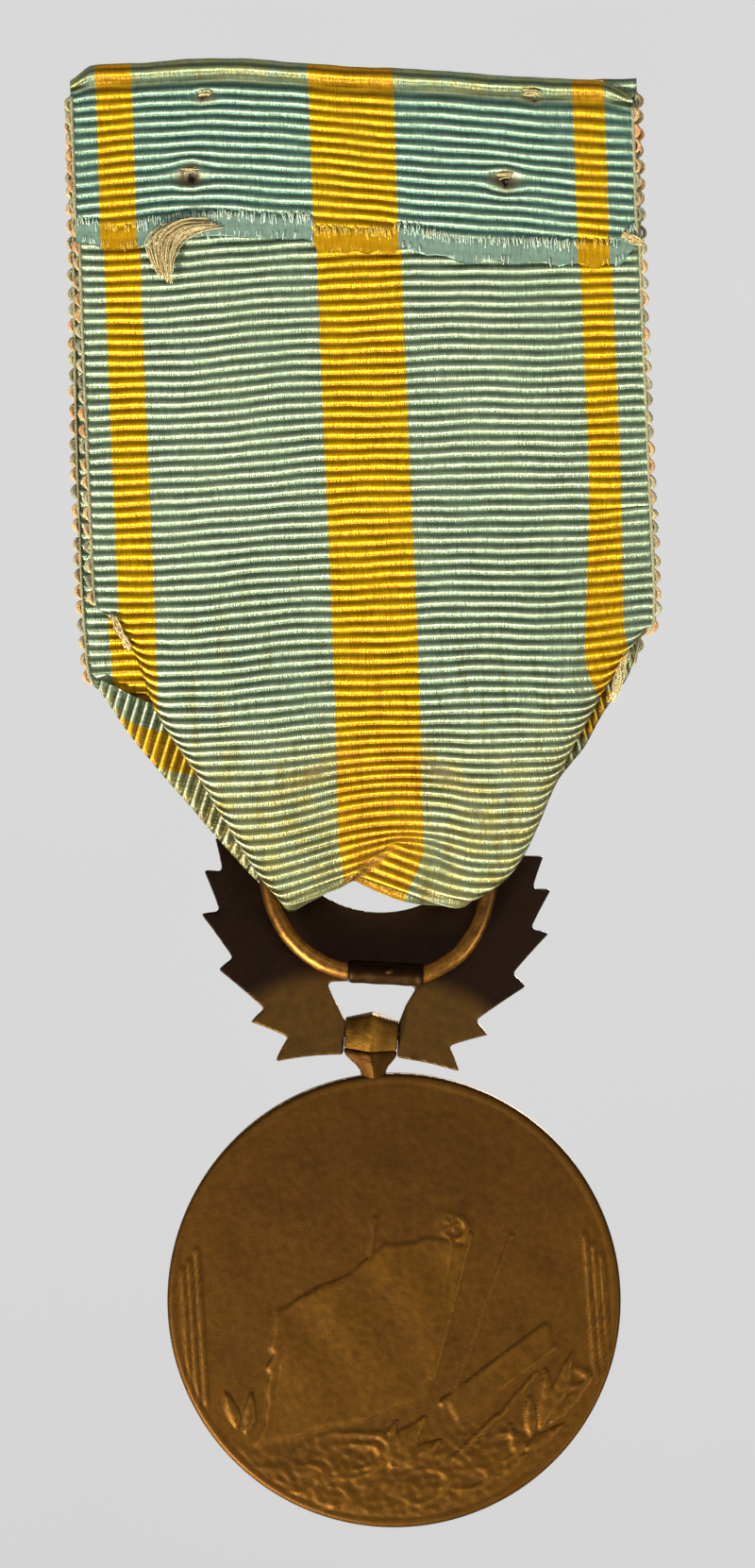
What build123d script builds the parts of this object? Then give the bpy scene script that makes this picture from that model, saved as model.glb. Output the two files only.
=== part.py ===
"""Military service medal: bronze disc, wreath suspender and wire ring on a folded moire-ribbed ribbon.

Millimetres. Z is up and the medal hangs as it is worn. The worn front faces -Y, the back faces +Y.
The origin is the middle of the ribbon's top fold. +X is on the right of somebody looking at the front.
"""
import os
from math import cos, pi, radians, sin, tan

from build123d import *

# ribbon cloth
CLOTH = 0.30
LAYER_STEP = 0.32
RIB_PITCH = 0.71
RIBBON_SPREAD = [(0.17, 1.2), (0.45, -32.0), (1.20, -43.5), (1.20, -57.5)]
HEM_SLOPE = 3.3
HEM_DEPTH = 11.3
HEM_TOP = -0.25
FOLD_WALL = 1.2

# the strip's edges, as (x, z) from the top down
BACK_EDGE_RIGHT = [
    (18.3, -35.8), (17.2, -36.5), (16.0, -38.5), (14.6, -42.9), (11.9, -47.3), (9.5, -51.8), (7.8, -54.7),
]
BACK_EDGE_LEFT = [
    (-18.5, -36.0), (-18.35, -39.1), (-17.2, -39.5), (-16.9, -42.3), (-13.1, -46.9), (-9.8, -52.4),
]
FRONT_EDGE_RIGHT = [
    (19.3, -36.0), (18.55, -40.4), (15.6, -45.0), (12.6, -48.9), (10.2, -52.1), (7.8, -55.0),
]
FRONT_EDGE_LEFT = [(-18.6, -36.0), (-18.4, -39.2), (-16.5, -42.2), (-13.1, -46.9), (-9.8, -52.4)]
BOTTOM_EDGE = [(6.2, -55.9), (4.7, -55.4), (2.1, -54.1), (-1.3, -55.25), (-3.4, -55.9), (-5.3, -56.3)]
TUCKS = {
    "front_tuck_right": (-1, [(18.4, -40.4), (7.9, -54.6), (6.6, -54.3), (3.3, -43.8)]),
    "front_tuck_left": (-1, [(-18.2, -39.4), (-7.9, -54.9), (-6.4, -54.9), (-2.6, -44.6)]),
    "back_tuck_right": (1, [(17.0, -36.9), (8.0, -54.2), (6.6, -54.2), (0.2, -45.7)]),
    "back_tuck_left": (1, [(-16.7, -42.2), (-7.9, -54.7), (-6.4, -54.9), (-1.6, -46.2)]),
}

# picot loops: a coloured thread bowed out along each woven edge
PICOT_PITCH = 2 * RIB_PITCH
PICOT_RADIUS = 0.50

# ring
RING_CENTRE = (0.16, 0.0, -53.14)
RING_RADIUS = 7.45
WIRE_RADIUS = 0.55
WREATH_SKEW = 5.0
CLASP_DROP = 7.08
CLASP_SPAN = (-3.0, 1.6)
CLASP_BORE = 0.60
CLASP_OUTER = 0.90

# wreath plate, drawn about the ring's centre
LEAN = 12.0
PLATE_BACK = -0.68
PLATE_THICKNESS = 0.80
RELIEF = 0.45
LEAF_TIPS = [(11.0, 1.2), (11.6, -1.0), (11.6, -3.9), (10.2, -7.5), (7.85, -10.8), (6.1, -13.3)]
LEAF_NOTCHES = [(10.35, -1.05), (10.35, -3.7), (9.3, -6.7), (7.0, -9.9), (5.33, -11.65)]
LEAF_BASES = [(8.4, -2.4), (8.7, -4.3), (7.9, -6.4), (6.2, -8.2), (4.6, -9.7), (3.2, -11.0)]
LEAF_WIDTH = 1.7
BAR_DROP = 11.1
BAR_RADIUS = 0.55
BAR_HALF_LENGTH = 2.35
WINDOW = [(3.05, -7.9), (2.6, -9.2), (2.05, -10.4), (2.05, -14.0)]

# strap, lug and disc
STRAP_OFFSET = -0.15
STRAP_WIDTH = 3.4
STRAP_BORE = 0.60
STRAP_RADIUS = 1.20
NECK_RADIUS = 0.60
DISC_CENTRE = (0.05, -81.88)
DISC_RADIUS = 15.0
DISC_THICKNESS = 1.70
RIM_HEIGHT = 0.18
RIM_WIDTH = 0.55
DISC_SKEW = 3.3


def outline(points):
    """A flat face in the XZ plane through the points."""
    return make_face(Polyline([(x, 0, z) for x, z in points], close=True))


def section(points):
    """A flat face in the YZ plane through the points."""
    return make_face(Polyline([(0, y, z) for y, z in points], close=True))


def through_y(face, reach=12):
    """The outline carried right through along Y."""
    return extrude(face, amount=reach, dir=(0, 1, 0), both=True)


def through_x(face, reach=30):
    """The section carried right through along X."""
    return extrude(face, amount=reach, dir=(1, 0, 0), both=True)


def as_one(shape):
    """The single solid inside a shape, or the largest one if slivers came with it."""
    return max(shape.solids(), key=lambda solid: solid.volume)


def cloth_layer(side, inward=0.0):
    """A slab of cloth on one side of the pocket; side is -1 in front and 1 at the back."""
    half = CLOTH / 2
    inner = [(side * (y - inward - half), z) for y, z in RIBBON_SPREAD]
    outer = [(side * (y - inward + half), z) for y, z in RIBBON_SPREAD]
    return through_x(section(inner + outer[::-1]))


def hem_line(x, below=0.0):
    """Height of a line parallel to the slanting top fold."""
    return HEM_TOP - below + x * tan(radians(HEM_SLOPE))


def bottom_edge(rise=0.0):
    return [(x, z + rise) for x, z in BOTTOM_EDGE]


def panel(side, top_gap, right_edge, left_edge):
    """One long face of the ribbon, from the top fold to just above the bottom fold."""
    top_right = 18.4 if side > 0 else 18.9
    top = [(-18.9, hem_line(-18.9, top_gap)), (top_right, hem_line(top_right, top_gap))]
    points = top + right_edge + bottom_edge(FOLD_WALL) + left_edge[::-1]
    return as_one(cloth_layer(side) & through_y(outline(points)))


def front_panel():
    return panel(-1, 0.80, FRONT_EDGE_RIGHT, FRONT_EDGE_LEFT)


def back_panel():
    return panel(1, 1.10, BACK_EDGE_RIGHT, BACK_EDGE_LEFT)


def bottom_fold():
    """The trough where the strip turns from the front face to the back face."""
    depth = RIBBON_SPREAD[-1][0] + CLOTH / 2
    band = bottom_edge() + bottom_edge(FOLD_WALL)[::-1]
    hollow = bottom_edge(CLOTH) + bottom_edge(FOLD_WALL + CLOTH)[::-1]
    trough = through_y(outline(band), depth) - through_y(outline(hollow), depth - CLOTH)
    return as_one(trough)


def corner_tuck(side, points):
    """A bottom corner of the strip, folded in behind its own face."""
    return as_one(cloth_layer(side, LAYER_STEP) & through_y(outline(points)))


def top_hem():
    """The strip's end, rolled over the top and left lying down the back."""
    front_y = -RIBBON_SPREAD[0][0]
    back_y = RIBBON_SPREAD[0][0] + LAYER_STEP + 0.09
    radius = (back_y - front_y) / 2
    middle = (front_y + back_y) / 2
    with BuildSketch(Plane.YZ) as profile:
        with BuildLine():
            down_front = Line((front_y, -0.60), (front_y, -radius))
            over = ThreePointArc(down_front @ 1, (middle, 0), (back_y, -radius))
            down_back = Line(over @ 1, (back_y + 0.10, -HEM_DEPTH))
            offset(amount=CLOTH / 2, side=Side.BOTH)
        make_face()
    strip = extrude(profile.sketch, amount=30, dir=(1, 0, 0), both=True)
    strip = Pos(0, 0, HEM_TOP) * Rot(0, -HEM_SLOPE, 0) * strip
    sides = through_y(outline([(-18.95, 5), (18.75, 5), (18.75, -15), (-18.75, -15)]))
    return as_one(strip & sides)


def picot_edge(side, x_top, x_low, z_low):
    """The row of small thread loops along one woven edge of one face."""
    outward = 1 if x_top > 0 else -1
    count = int((-z_low - 3.2) / PICOT_PITCH)
    loops = []
    for index in range(count):
        z = z_low + PICOT_PITCH * (index + 0.5)
        x = x_top + (x_low - x_top) * z / z_low
        loops.append(Pos(x, 0, z) * Rot(90, 0, 0) * Cylinder(PICOT_RADIUS, 12))
    inner_limit = x_low - outward * 30
    z_top = z_low + PICOT_PITCH * count
    body = outline([(x_top, z_top), (x_low, z_low), (inner_limit, z_low), (inner_limit, z_top)])
    string = outline([
        (x_top + outward * 0.22, z_top), (x_low + outward * 0.22, z_low),
        (x_low, z_low), (x_top, z_top),
    ])
    row = through_y(string)
    for loop in loops:
        row = row + loop
    row = row - through_y(body)
    return as_one(cloth_layer(side) & row)


def thread_tuft():
    """A wisp of the old sewing thread left under the hem."""
    path = Spline((11.4, 1.12, -10.6), (13.2, 1.16, -11.5), (12.9, 1.10, -12.9), (12.4, 1.02, -14.0))
    wisp = sweep(Plane(path @ 0, z_dir=path % 0) * Circle(0.26), path=path)
    return as_one(wisp)


def hung(shape):
    """Carries a shape drawn about the ring's centre to where the ring hangs."""
    return Pos(*RING_CENTRE) * Rot(0, -WREATH_SKEW, 0) * shape


def ring():
    """A wire ring, a little flattened where the clasp holds it."""
    start = (CLASP_SPAN[0] - 0.15, 0, -CLASP_DROP)
    end = (CLASP_SPAN[1] + 0.15, 0, -CLASP_DROP)
    left = (-RING_RADIUS, 0, 0)
    right = (RING_RADIUS, 0, 0)
    flat = Line(end, start)
    left_bend = Spline(start, (-5.50, 0, -5.70), (-7.02, 0, -3.12), left, tangents=[(-1, 0, 0), (0, 0, 1)])
    over = ThreePointArc(left, (0, 0, RING_RADIUS), right)
    right_bend = Spline(right, (6.47, 0, -3.70), (3.85, 0, -6.38), end, tangents=[(0, 0, -1), (-1, 0, 0)])
    wire = None
    for path in (flat, left_bend, over, right_bend):
        length = sweep(Plane(path @ 0, z_dir=path % 0) * Circle(WIRE_RADIUS), path=path)
        wire = length if wire is None else wire + length
    return as_one(hung(wire))


def leaned_slab(back, thickness):
    """A slab that leans forward at the top; back is its distance from the clasp's axis."""
    slab = Pos(0, back - thickness / 2, 0) * Box(60, thickness, 60)
    return Pos(0, 0, -CLASP_DROP) * Rot(LEAN, 0, 0) * slab


def mirrored(points):
    return [(-x, z) for x, z in points]


def wreath_outline():
    """Saw-edged laurel outline, with the crescent's hollow along the top."""
    right = [LEAF_TIPS[0]]
    for notch, tip in zip(LEAF_NOTCHES, LEAF_TIPS[1:]):
        right += [notch, tip]
    right.append((1.9, -12.6))
    hollow = [(8.6, -1.6), (5.0, -2.6), (2.5, -3.02)]
    around = right + mirrored(right)[::-1] + mirrored(hollow) + [(0, -3.15)] + hollow[::-1]
    return outline(around)


def leaf(base, tip):
    """A pointed leaf between two points."""
    across = Vector(-(tip[1] - base[1]), 0, tip[0] - base[0]).normalized() * (LEAF_WIDTH / 2)
    middle = Vector((base[0] + tip[0]) / 2, 0, (base[1] + tip[1]) / 2)
    one_end = (base[0], 0, base[1])
    other_end = (tip[0], 0, tip[1])
    edge = ThreePointArc(one_end, middle + across, other_end)
    back_edge = ThreePointArc(other_end, middle - across, one_end)
    return make_face([edge, back_edge])


def crescent_outline():
    """The crescent moon that joins the two branches."""
    horn_right = (8.3, 0, -1.75)
    horn_left = (-8.3, 0, -1.75)
    upper = ThreePointArc(horn_left, (0, 0, -3.2), horn_right)
    lower = ThreePointArc(horn_right, (0, 0, -6.6), horn_left)
    return make_face([upper, lower])


def bar_place():
    """Centre of the crossbar, in the middle of the leaning plate's thickness."""
    distance = PLATE_BACK - PLATE_THICKNESS / 2
    drop = (BAR_DROP - CLASP_DROP)
    y = distance / cos(radians(LEAN)) + drop * tan(radians(LEAN))
    return Pos(0, y, -BAR_DROP)


def wreath_plate():
    """Struck plate: two laurel branches and a crescent in relief, with a window and a crossbar."""
    profile = through_y(wreath_outline())
    plate = profile & leaned_slab(PLATE_BACK, PLATE_THICKNESS)
    raised = through_y(crescent_outline())
    for base, tip in zip(LEAF_BASES, LEAF_TIPS):
        raised = raised + through_y(leaf(base, tip))
        raised = raised + through_y(leaf(*mirrored([base, tip])))
    relief = raised & profile & leaned_slab(PLATE_BACK - PLATE_THICKNESS, RELIEF)
    window = through_y(outline(WINDOW + mirrored(WINDOW)[::-1]))
    bar = bar_place() * Rot(0, 90, 0) * Cylinder(BAR_RADIUS, 2 * BAR_HALF_LENGTH)
    return as_one(hung(plate + relief - window - clasp_tube(0) + bar))


def clasp_tube(bore):
    """The clasp's outside, with its bore cut if one is given."""
    length = CLASP_SPAN[1] - CLASP_SPAN[0]
    middle = (CLASP_SPAN[1] + CLASP_SPAN[0]) / 2
    tube = Cylinder(CLASP_OUTER, length)
    if bore:
        tube = tube - Cylinder(bore, length + 1)
    return Pos(middle, 0, -CLASP_DROP) * Rot(0, 90, 0) * tube


def ring_clasp():
    """The tab curled round the ring's wire."""
    return as_one(hung(clasp_tube(CLASP_BORE)))


def hinge_strap():
    """The eye that turns on the crossbar, with a ridge down its middle."""
    eye = Cylinder(STRAP_RADIUS, STRAP_WIDTH)
    eye = Rot(0, 90, 0) * eye
    skirt = Pos(0, 0, -STRAP_RADIUS / 2) * Box(STRAP_WIDTH, 2 * STRAP_RADIUS, STRAP_RADIUS)
    half = STRAP_WIDTH / 2
    ridged = Polyline(
        (-half, -0.95, 0), (0, -STRAP_RADIUS, 0), (half, -0.95, 0),
        (half, 0.95, 0), (0, STRAP_RADIUS, 0), (-half, 0.95, 0), close=True)
    facets = extrude(make_face(ridged), amount=5, both=True)
    bore = Rot(0, 90, 0) * Cylinder(STRAP_BORE, STRAP_WIDTH + 1)
    strap = ((eye + skirt) & facets) - bore
    return as_one(hung(bar_place() * Pos(STRAP_OFFSET, 0, 0) * strap))


def disc_place():
    """The disc's centre, hanging straight below the crossbar."""
    return Pos(DISC_CENTRE[0], bar_place().position.Y, DISC_CENTRE[1]) * Rot(0, DISC_SKEW, 0)


def disc_lug(disc):
    """The funnel that joins the strap to the disc's edge."""
    half = STRAP_WIDTH / 2
    mouth_place = Pos(*RING_CENTRE) * Rot(0, -WREATH_SKEW, 0) * bar_place()
    mouth_place = mouth_place * Pos(STRAP_OFFSET, 0, -STRAP_RADIUS)
    mouth = mouth_place * make_face(Polyline(
        (-half, -0.95, 0), (0, -STRAP_RADIUS, 0), (half, -0.95, 0),
        (half, 0.95, 0), (0, STRAP_RADIUS, 0), (-half, 0.95, 0), close=True))
    neck = disc_place() * Pos(0, 0, DISC_RADIUS + 0.15) * Circle(NECK_RADIUS)
    funnel = loft([mouth, neck])
    stub = disc_place() * Pos(0, 0, DISC_RADIUS - 0.1) * Cylinder(NECK_RADIUS, 0.5)
    return as_one(funnel + stub - disc)


def raised(face, height=0.22):
    """Relief on the disc's front; the face is drawn upright in the XZ plane."""
    start = -DISC_THICKNESS / 2
    return Pos(0, start + 0.05, 0) * extrude(face, amount=height + 0.05, dir=(0, -1, 0))


def star(outer, inner):
    """A plain five-pointed star."""
    points = []
    for index in range(10):
        reach = inner if index % 2 else outer
        turn = pi * index / 5
        points.append((reach * sin(turn), reach * cos(turn)))
    return outline(points)


def leaf_ring(radius, count):
    """Leaves lying head to tail round a circle."""
    leaves = []
    for index in range(count):
        start = 2 * pi * index / count
        end = start + 2 * pi * 0.82 / count
        base = (radius * sin(start), radius * cos(start))
        tip = ((radius + 0.5) * sin(end), (radius + 0.5) * cos(end))
        leaves.append(leaf(base, tip))
    return leaves


def trophy():
    """Plain military trophy for the back: a flag on its staff, a pole and two laurel sprays."""
    flag = outline([(-1.0, 6.0), (5.6, 4.2), (6.4, -1.0), (4.2, -8.6), (-2.6, -7.4), (-3.6, 3.0)])
    staff = outline([(-3.9, 9.6), (-3.3, 9.7), (-0.4, -9.4), (-1.0, -9.5)])
    pole = outline([(-10.4, -2.2), (-9.7, -1.4), (1.2, -9.9), (0.5, -10.7)])
    sprays = [leaf((4.0, -10.4), (8.4, -8.6)), leaf((2.0, -11.3), (5.6, -12.3))]
    sprays += [leaf((-4.0, -10.4), (-8.4, -8.4)), leaf((-2.0, -11.3), (-5.6, -12.5))]
    sprays += [leaf((-8.2, -7.6), (-11.2, -4.6)), leaf((8.2, -7.6), (11.2, -4.9))]
    return [flag, staff, pole] + sprays


def medal_disc():
    """Struck disc with a thin rim: star and laurel in front, trophy on the back."""
    lying = Rot(90, 0, 0)
    disc = lying * Cylinder(DISC_RADIUS, DISC_THICKNESS)
    rims = lying * Cylinder(DISC_RADIUS, DISC_THICKNESS + 2 * RIM_HEIGHT)
    rims = rims - lying * Cylinder(DISC_RADIUS - RIM_WIDTH, DISC_THICKNESS + 2)
    disc = disc + rims + raised(star(5.2, 2.2))
    for face in leaf_ring(10.8, 16):
        disc = disc + raised(face)
    for face in trophy():
        disc = disc + Rot(0, 0, 180) * raised(Rot(0, 0, 180) * face, 0.16)
    return as_one(disc_place() * disc)


def build_parts():
    """Every node of the medal, by name."""
    disc = medal_disc()
    parts = {
        "ribbon_front_panel": front_panel(),
        "ribbon_back_panel": back_panel(),
        "ribbon_bottom_fold": bottom_fold(),
        "ribbon_top_hem": top_hem(),
        "picot_front_right": picot_edge(-1, 18.95, 19.32, -35.5),
        "picot_front_left": picot_edge(-1, -18.95, -18.65, -35.5),
        "picot_back_right": picot_edge(1, 18.45, 18.35, -35.0),
        "picot_back_left": picot_edge(1, -18.95, -18.55, -35.5),
        "thread_tuft": thread_tuft(),
        "suspension_ring": ring(),
        "ring_clasp": ring_clasp(),
        "wreath_plate": wreath_plate(),
        "hinge_strap": hinge_strap(),
        "disc_lug": disc_lug(disc),
        "medal_disc": disc,
    }
    for name, (side, points) in TUCKS.items():
        parts["ribbon_" + name] = corner_tuck(side, points)
    return parts


os.makedirs("parts", exist_ok=True)
for name, solid in build_parts().items():
    export_step(solid, "parts/" + name + ".step")
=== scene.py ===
"""Military service medal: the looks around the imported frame.

The row frame is in metres; lengths below are millimetres and are scaled when a mesh is made.
The medal hangs with +Z up. Its back, the side the camera sees, faces +Y, and its worn front faces -Y.
"down" is the depth below the origin, which is the middle of the ribbon's top fold.
"""
import math
import random

import bmesh
import bpy
import numpy as np
from mathutils import Matrix, Vector, noise


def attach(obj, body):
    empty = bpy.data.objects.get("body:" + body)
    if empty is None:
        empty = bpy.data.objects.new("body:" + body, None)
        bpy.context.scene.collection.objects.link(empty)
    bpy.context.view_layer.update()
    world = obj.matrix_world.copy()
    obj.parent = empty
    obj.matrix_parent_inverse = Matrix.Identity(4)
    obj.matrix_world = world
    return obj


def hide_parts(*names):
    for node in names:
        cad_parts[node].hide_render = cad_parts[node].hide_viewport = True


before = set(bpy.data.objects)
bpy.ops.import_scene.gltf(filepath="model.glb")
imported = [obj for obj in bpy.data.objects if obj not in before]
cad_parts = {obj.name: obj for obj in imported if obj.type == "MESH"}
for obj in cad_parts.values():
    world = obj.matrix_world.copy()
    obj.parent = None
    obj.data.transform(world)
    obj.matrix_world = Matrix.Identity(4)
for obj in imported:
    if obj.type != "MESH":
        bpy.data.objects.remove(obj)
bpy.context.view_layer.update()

MM = 0.001

# camera
VIEW_HEIGHT = 103.7
VIEW_CENTRE = (0.04, -47.75)
VIEW_ROLL = -1.85
LENS = 100.0
SENSOR = 36.0

# ribbon strip
RIB_PITCH = 0.71
ROWS_PER_RIB = 6
RIB_HEIGHT = 0.19
LAYER_DROP = 0.32
SELVEDGE_PLUS = 18.5
SELVEDGE_MINUS = 18.6
OUTER_COLUMNS = 72
FLAP_COLUMNS = 20
# how much closer the columns stand at the middle and at the folds
CLOSER = 0.38
BACK_START = 1.5
TURN_START = 55.35
TURN_DEPTH = 0.85
POCKET_HALF = 1.2
ROLL_START = 0.65
HEM_LEVEL = 0.58
HEM_REACH = 14.2
HEM_FRINGE = 1.6
# the hem's shift to one side, its rows' slope against the roll's, and how far it stands off per mm down
HEM_SHIFT = 0.32
HEM_SLOPE = 1.22
HEM_FALL = 0.008
FACE_POINTS = 240
SIDE_STRIPE = (14.45, 16.85)
CENTRE_STRIPE = 2.8
LARGE_HOLES = [(11.1, 7.2), (-9.67, 8.18)]
SMALL_HOLES = [(9.94, 2.11), (-11.59, 2.81)]

# how the strip's sides run, as (x, down); below about 36 mm they are folds
BACK_SIDE_PLUS = [
    (18.5, 0), (18.5, 34.5), (18.3, 35.8), (17.2, 36.5), (16.0, 38.5), (14.6, 42.9),
    (11.9, 47.3), (9.5, 51.8), (7.8, 54.7), (6.4, 56.2),
]
BACK_SIDE_MINUS = [
    (18.6, 0), (18.6, 36.0), (18.4, 38.7), (17.0, 39.4), (16.4, 40.7), (15.0, 42.3), (13.7, 44.8),
    (12.2, 47.7), (10.5, 51.7), (8.9, 54.2), (7.4, 55.7), (5.4, 56.4),
]
FRONT_SIDE_PLUS = [
    (18.5, 0), (18.5, 39.5), (18.1, 40.6), (15.5, 45.0),
    (12.6, 48.9), (10.2, 52.1), (7.8, 55.0), (6.4, 56.2),
]
FRONT_SIDE_MINUS = [
    (18.6, 0), (18.6, 37.6), (18.0, 39.6), (17.5, 41.6), (15.4, 43.8), (13.8, 46.8), (12.4, 48.2),
    (10.6, 51.7), (8.9, 54.2), (7.5, 55.6), (5.4, 56.4),
]
# how far the front face lies to one side, as (x, down)
FRONT_SHIFT = [(0.35, 0), (0.6, 14), (0.8, 24), (0.75, 36), (0.2, 46), (0.0, 56)]
# where the hem is cut off, as (x, down)
HEM_CUT = [
    (-18.6, 10.6), (-17.4, 11.9), (-15.4, 12.3), (-11.0, 12.4), (-6.8, 12.6), (-2.9, 12.1), (-2.3, 12.5),
    (2.6, 12.8), (3.0, 12.0), (8.0, 12.2), (13.4, 12.4), (15.4, 12.7), (18.8, 11.8),
]
# how far the ribs are drawn up over the ring's wire, as (x, rise): half way down, just above the crease
# and just below it, and how that grows with (down, share)
RISE_MIDDLE = [
    (-12, 0.55), (-9, 0.57), (-7.5, 0.52), (-6, 0.65), (-4.5, 1.05), (-3.2, 1.2), (-2, 1.3), (-1, 1.33),
    (0, 1.3), (1, 1.22), (2, 1.08), (3.2, 0.86), (4, 0.65), (5.5, 0.32), (7, 0.07), (8.5, 0),
]
RISE_ABOVE = [
    (-9, 0.75), (-7.5, 0.7), (-6, 0.86), (-4.5, 1.36), (-3.2, 1.92), (-2, 2.15), (-1, 2.15),
    (0, 1.92), (1, 1.64), (2, 1.36), (3.2, 1.08), (4, 0.86), (5.5, 0.47), (7, 0.13), (8.5, 0),
]
RISE_BELOW = [(-9, 0.95), (-6, 1.0), (-4.5, 1.35), (-3.2, 1.8), (-2, 2.3), (-1, 2.7), (0, 3.1), (2.1, 3.9)]
RISE_GROWTH = [(43, 0), (45.6, 0.33), (47.7, 0.62), (49.8, 0.95), (52, 1.05), (60, 1.05)]
# how far the bottom fold itself is drawn up, as (x, rise)
EDGE_RISE = [(-7.0, 0), (-5.4, 0.1), (-1.3, 1.1), (2.1, 2.3), (4.0, 1.2), (6.5, 0)]
# the crease over the ring, as (x, down)
CREASE = [
    (-4.0, 53.6), (-3.0, 52.7), (-2.0, 52.0), (-0.9, 51.75),
    (0.0, 52.4), (1.0, 53.15), (2.1, 54.0), (4.0, 57.0),
]

# floor and backdrop
FLOOR_LEVEL = -420.0
FLOOR_RADIUS = 900.0
FLOOR_CURVE = 500.0
BACKDROP_TOP = 1500.0

# pendant metal
RING_CENTRE = (0.16, 0.0, -53.14)
RING_RADIUS = 7.45
WIRE_RADIUS = 0.55
WREATH_SKEW = 5.0
CLASP_DROP = 7.08
LEAN = 12.0
PLATE_BACK = -0.68
PLATE_THICKNESS = 0.80
LEAF_RELIEF = 0.45
HOLLOW_CENTRE = 4.05
HOLLOW_RADIUS = 7.2
HORN_REACH = 6.6
HORN_RISE = 1.2
MOON_CENTRE = 1.48
MOON_RADIUS = 8.08
BAR_DROP = 11.1
DISC_CENTRE = (0.05, -81.88)
DISC_RADIUS = 15.0
DISC_THICKNESS = 1.70
DISC_SKEW = 3.3
RIM_HEIGHT = 0.18
RIM_WIDTH = 0.55
STAR_RADIUS = 5.2
LAUREL_RADIUS = 10.8
BEAD_RADIUS = 13.6
STRAP_OFFSET = -0.15
STRAP_WIDTH = 3.4
STRAP_RADIUS = 1.20
LEAF_TIPS = [(11.0, 1.2), (11.6, -1.0), (11.6, -3.9), (10.2, -7.5), (7.85, -10.8), (6.1, -13.3)]
LEAF_NOTCHES = [(10.35, -1.05), (10.35, -3.7), (9.3, -6.7), (7.0, -9.9), (5.33, -11.65)]
LEAF_BASES = [(8.4, -2.4), (8.7, -4.3), (7.9, -6.4), (6.2, -8.2), (4.6, -9.7), (3.2, -11.0)]


# ---------------------------------------------------------------- small tools

def smooth_step(value, low=0.0, high=1.0):
    """0 below low, 1 above high, and an S curve between."""
    t = np.clip((np.asarray(value, float) - low) / (high - low), 0, 1)
    return t * t * (3 - 2 * t)


def along_points(points, value):
    """Reads a line of (place, value) points."""
    place, height = np.array(points, float).T
    return np.interp(value, place, height)


def softened(points, value, spread):
    """The same, with its corners rounded."""
    return np.mean([along_points(points, value + spread * k) for k in (-1, -0.5, 0, 0.5, 1)], axis=0)


def soft_line(points, down, spread=0.9):
    """The x of a side that runs through (x, down) points, with its corners rounded."""
    return softened([(depth, x) for x, depth in points], down, spread)


def bell(value, width):
    """1 at 0, falling to nothing on both sides."""
    return np.exp(-(value / width) ** 2)


def to_metres(points):
    """The points as tuples in metres."""
    return [tuple(p) for p in np.asarray(points, float) * MM]


def mesh_object(name, points, faces, matrix=None):
    """A smooth mesh object from millimetre points."""
    mesh = bpy.data.meshes.new(name)
    mesh.from_pydata(to_metres(points), [], faces)
    if matrix is not None:
        mesh.transform(matrix)
    mesh.polygons.foreach_set("use_smooth", [True] * len(mesh.polygons))
    mesh.update()
    piece = bpy.data.objects.new(name, mesh)
    bpy.context.scene.collection.objects.link(piece)
    return piece


def set_numbers(piece, name, values):
    """Stores one number per vertex."""
    layer = piece.data.attributes.new(name, "FLOAT", "POINT")
    layer.data.foreach_set("value", np.asarray(values, np.float32).ravel())


def grid_faces(rows, columns, closed=False, start=0):
    """Quads over a grid of points, closed round its columns if asked."""
    index = start + np.arange(rows * columns).reshape(rows, columns)
    if closed:
        index = np.hstack([index, index[:, :1]])
    quads = np.stack([index[:-1, :-1], index[:-1, 1:], index[1:, 1:], index[1:, :-1]], axis=-1)
    return [tuple(q) for q in quads.reshape(-1, 4).tolist()]


def curve_through(points, count):
    """A smooth line through the points, as count samples evenly spaced by point number."""
    points = np.asarray(points, float)
    ends = np.vstack([2 * points[0] - points[1], points, 2 * points[-1] - points[-2]])
    place = np.linspace(0, len(points) - 1.000001, count)
    k = place.astype(int)
    t = (place - k)[:, None]
    a, b, c, d = ends[k], ends[k + 1], ends[k + 2], ends[k + 3]
    square = 2 * a - 5 * b + 4 * c - d
    cube = 3 * b - a - 3 * c + d
    return 0.5 * (2 * b + (c - a) * t + square * t ** 2 + cube * t ** 3)


def tube_points(line, radii, sides):
    """Rings of points round a line; the rings keep their twist steady."""
    line = np.asarray(line, float)
    radii = np.broadcast_to(radii, len(line))
    along = np.gradient(line, axis=0)
    along /= np.linalg.norm(along, axis=1)[:, None]
    side = np.cross(along[0], (0.31, 0.87, 0.38))
    rings = []
    turns = np.linspace(0, 2 * math.pi, sides, endpoint=False)
    for centre, forward, radius in zip(line, along, radii):
        side = side - forward * side.dot(forward)
        side /= np.linalg.norm(side)
        other = np.cross(forward, side)
        rings.append(centre + radius * (np.cos(turns)[:, None] * side + np.sin(turns)[:, None] * other))
    return np.array(rings)


class Bundle:
    """Collects many small tubes into one mesh, each with its own tint."""

    def __init__(self):
        self.points, self.faces, self.tints = [], [], []

    def add(self, line, radii, sides, tint):
        """Adds one closed tube along a line."""
        rings = tube_points(line, radii, sides)
        start = len(self.points)
        self.points.extend(rings.reshape(-1, 3).tolist())
        self.faces.extend(f[::-1] for f in grid_faces(len(rings), sides, closed=True, start=start))
        self.faces.append(tuple(range(start, start + sides)))
        last = start + (len(rings) - 1) * sides
        self.faces.append(tuple(range(last, last + sides))[::-1])
        self.tints.extend([tint] * (len(rings) * sides))

    def piece(self, name, material, matrix=None):
        """Makes one mesh object of all the tubes."""
        made = mesh_object(name, self.points, self.faces, matrix)
        set_numbers(made, "tint", self.tints)
        made.data.materials.append(material)
        return made


# ---------------------------------------------------------------- materials

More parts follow.
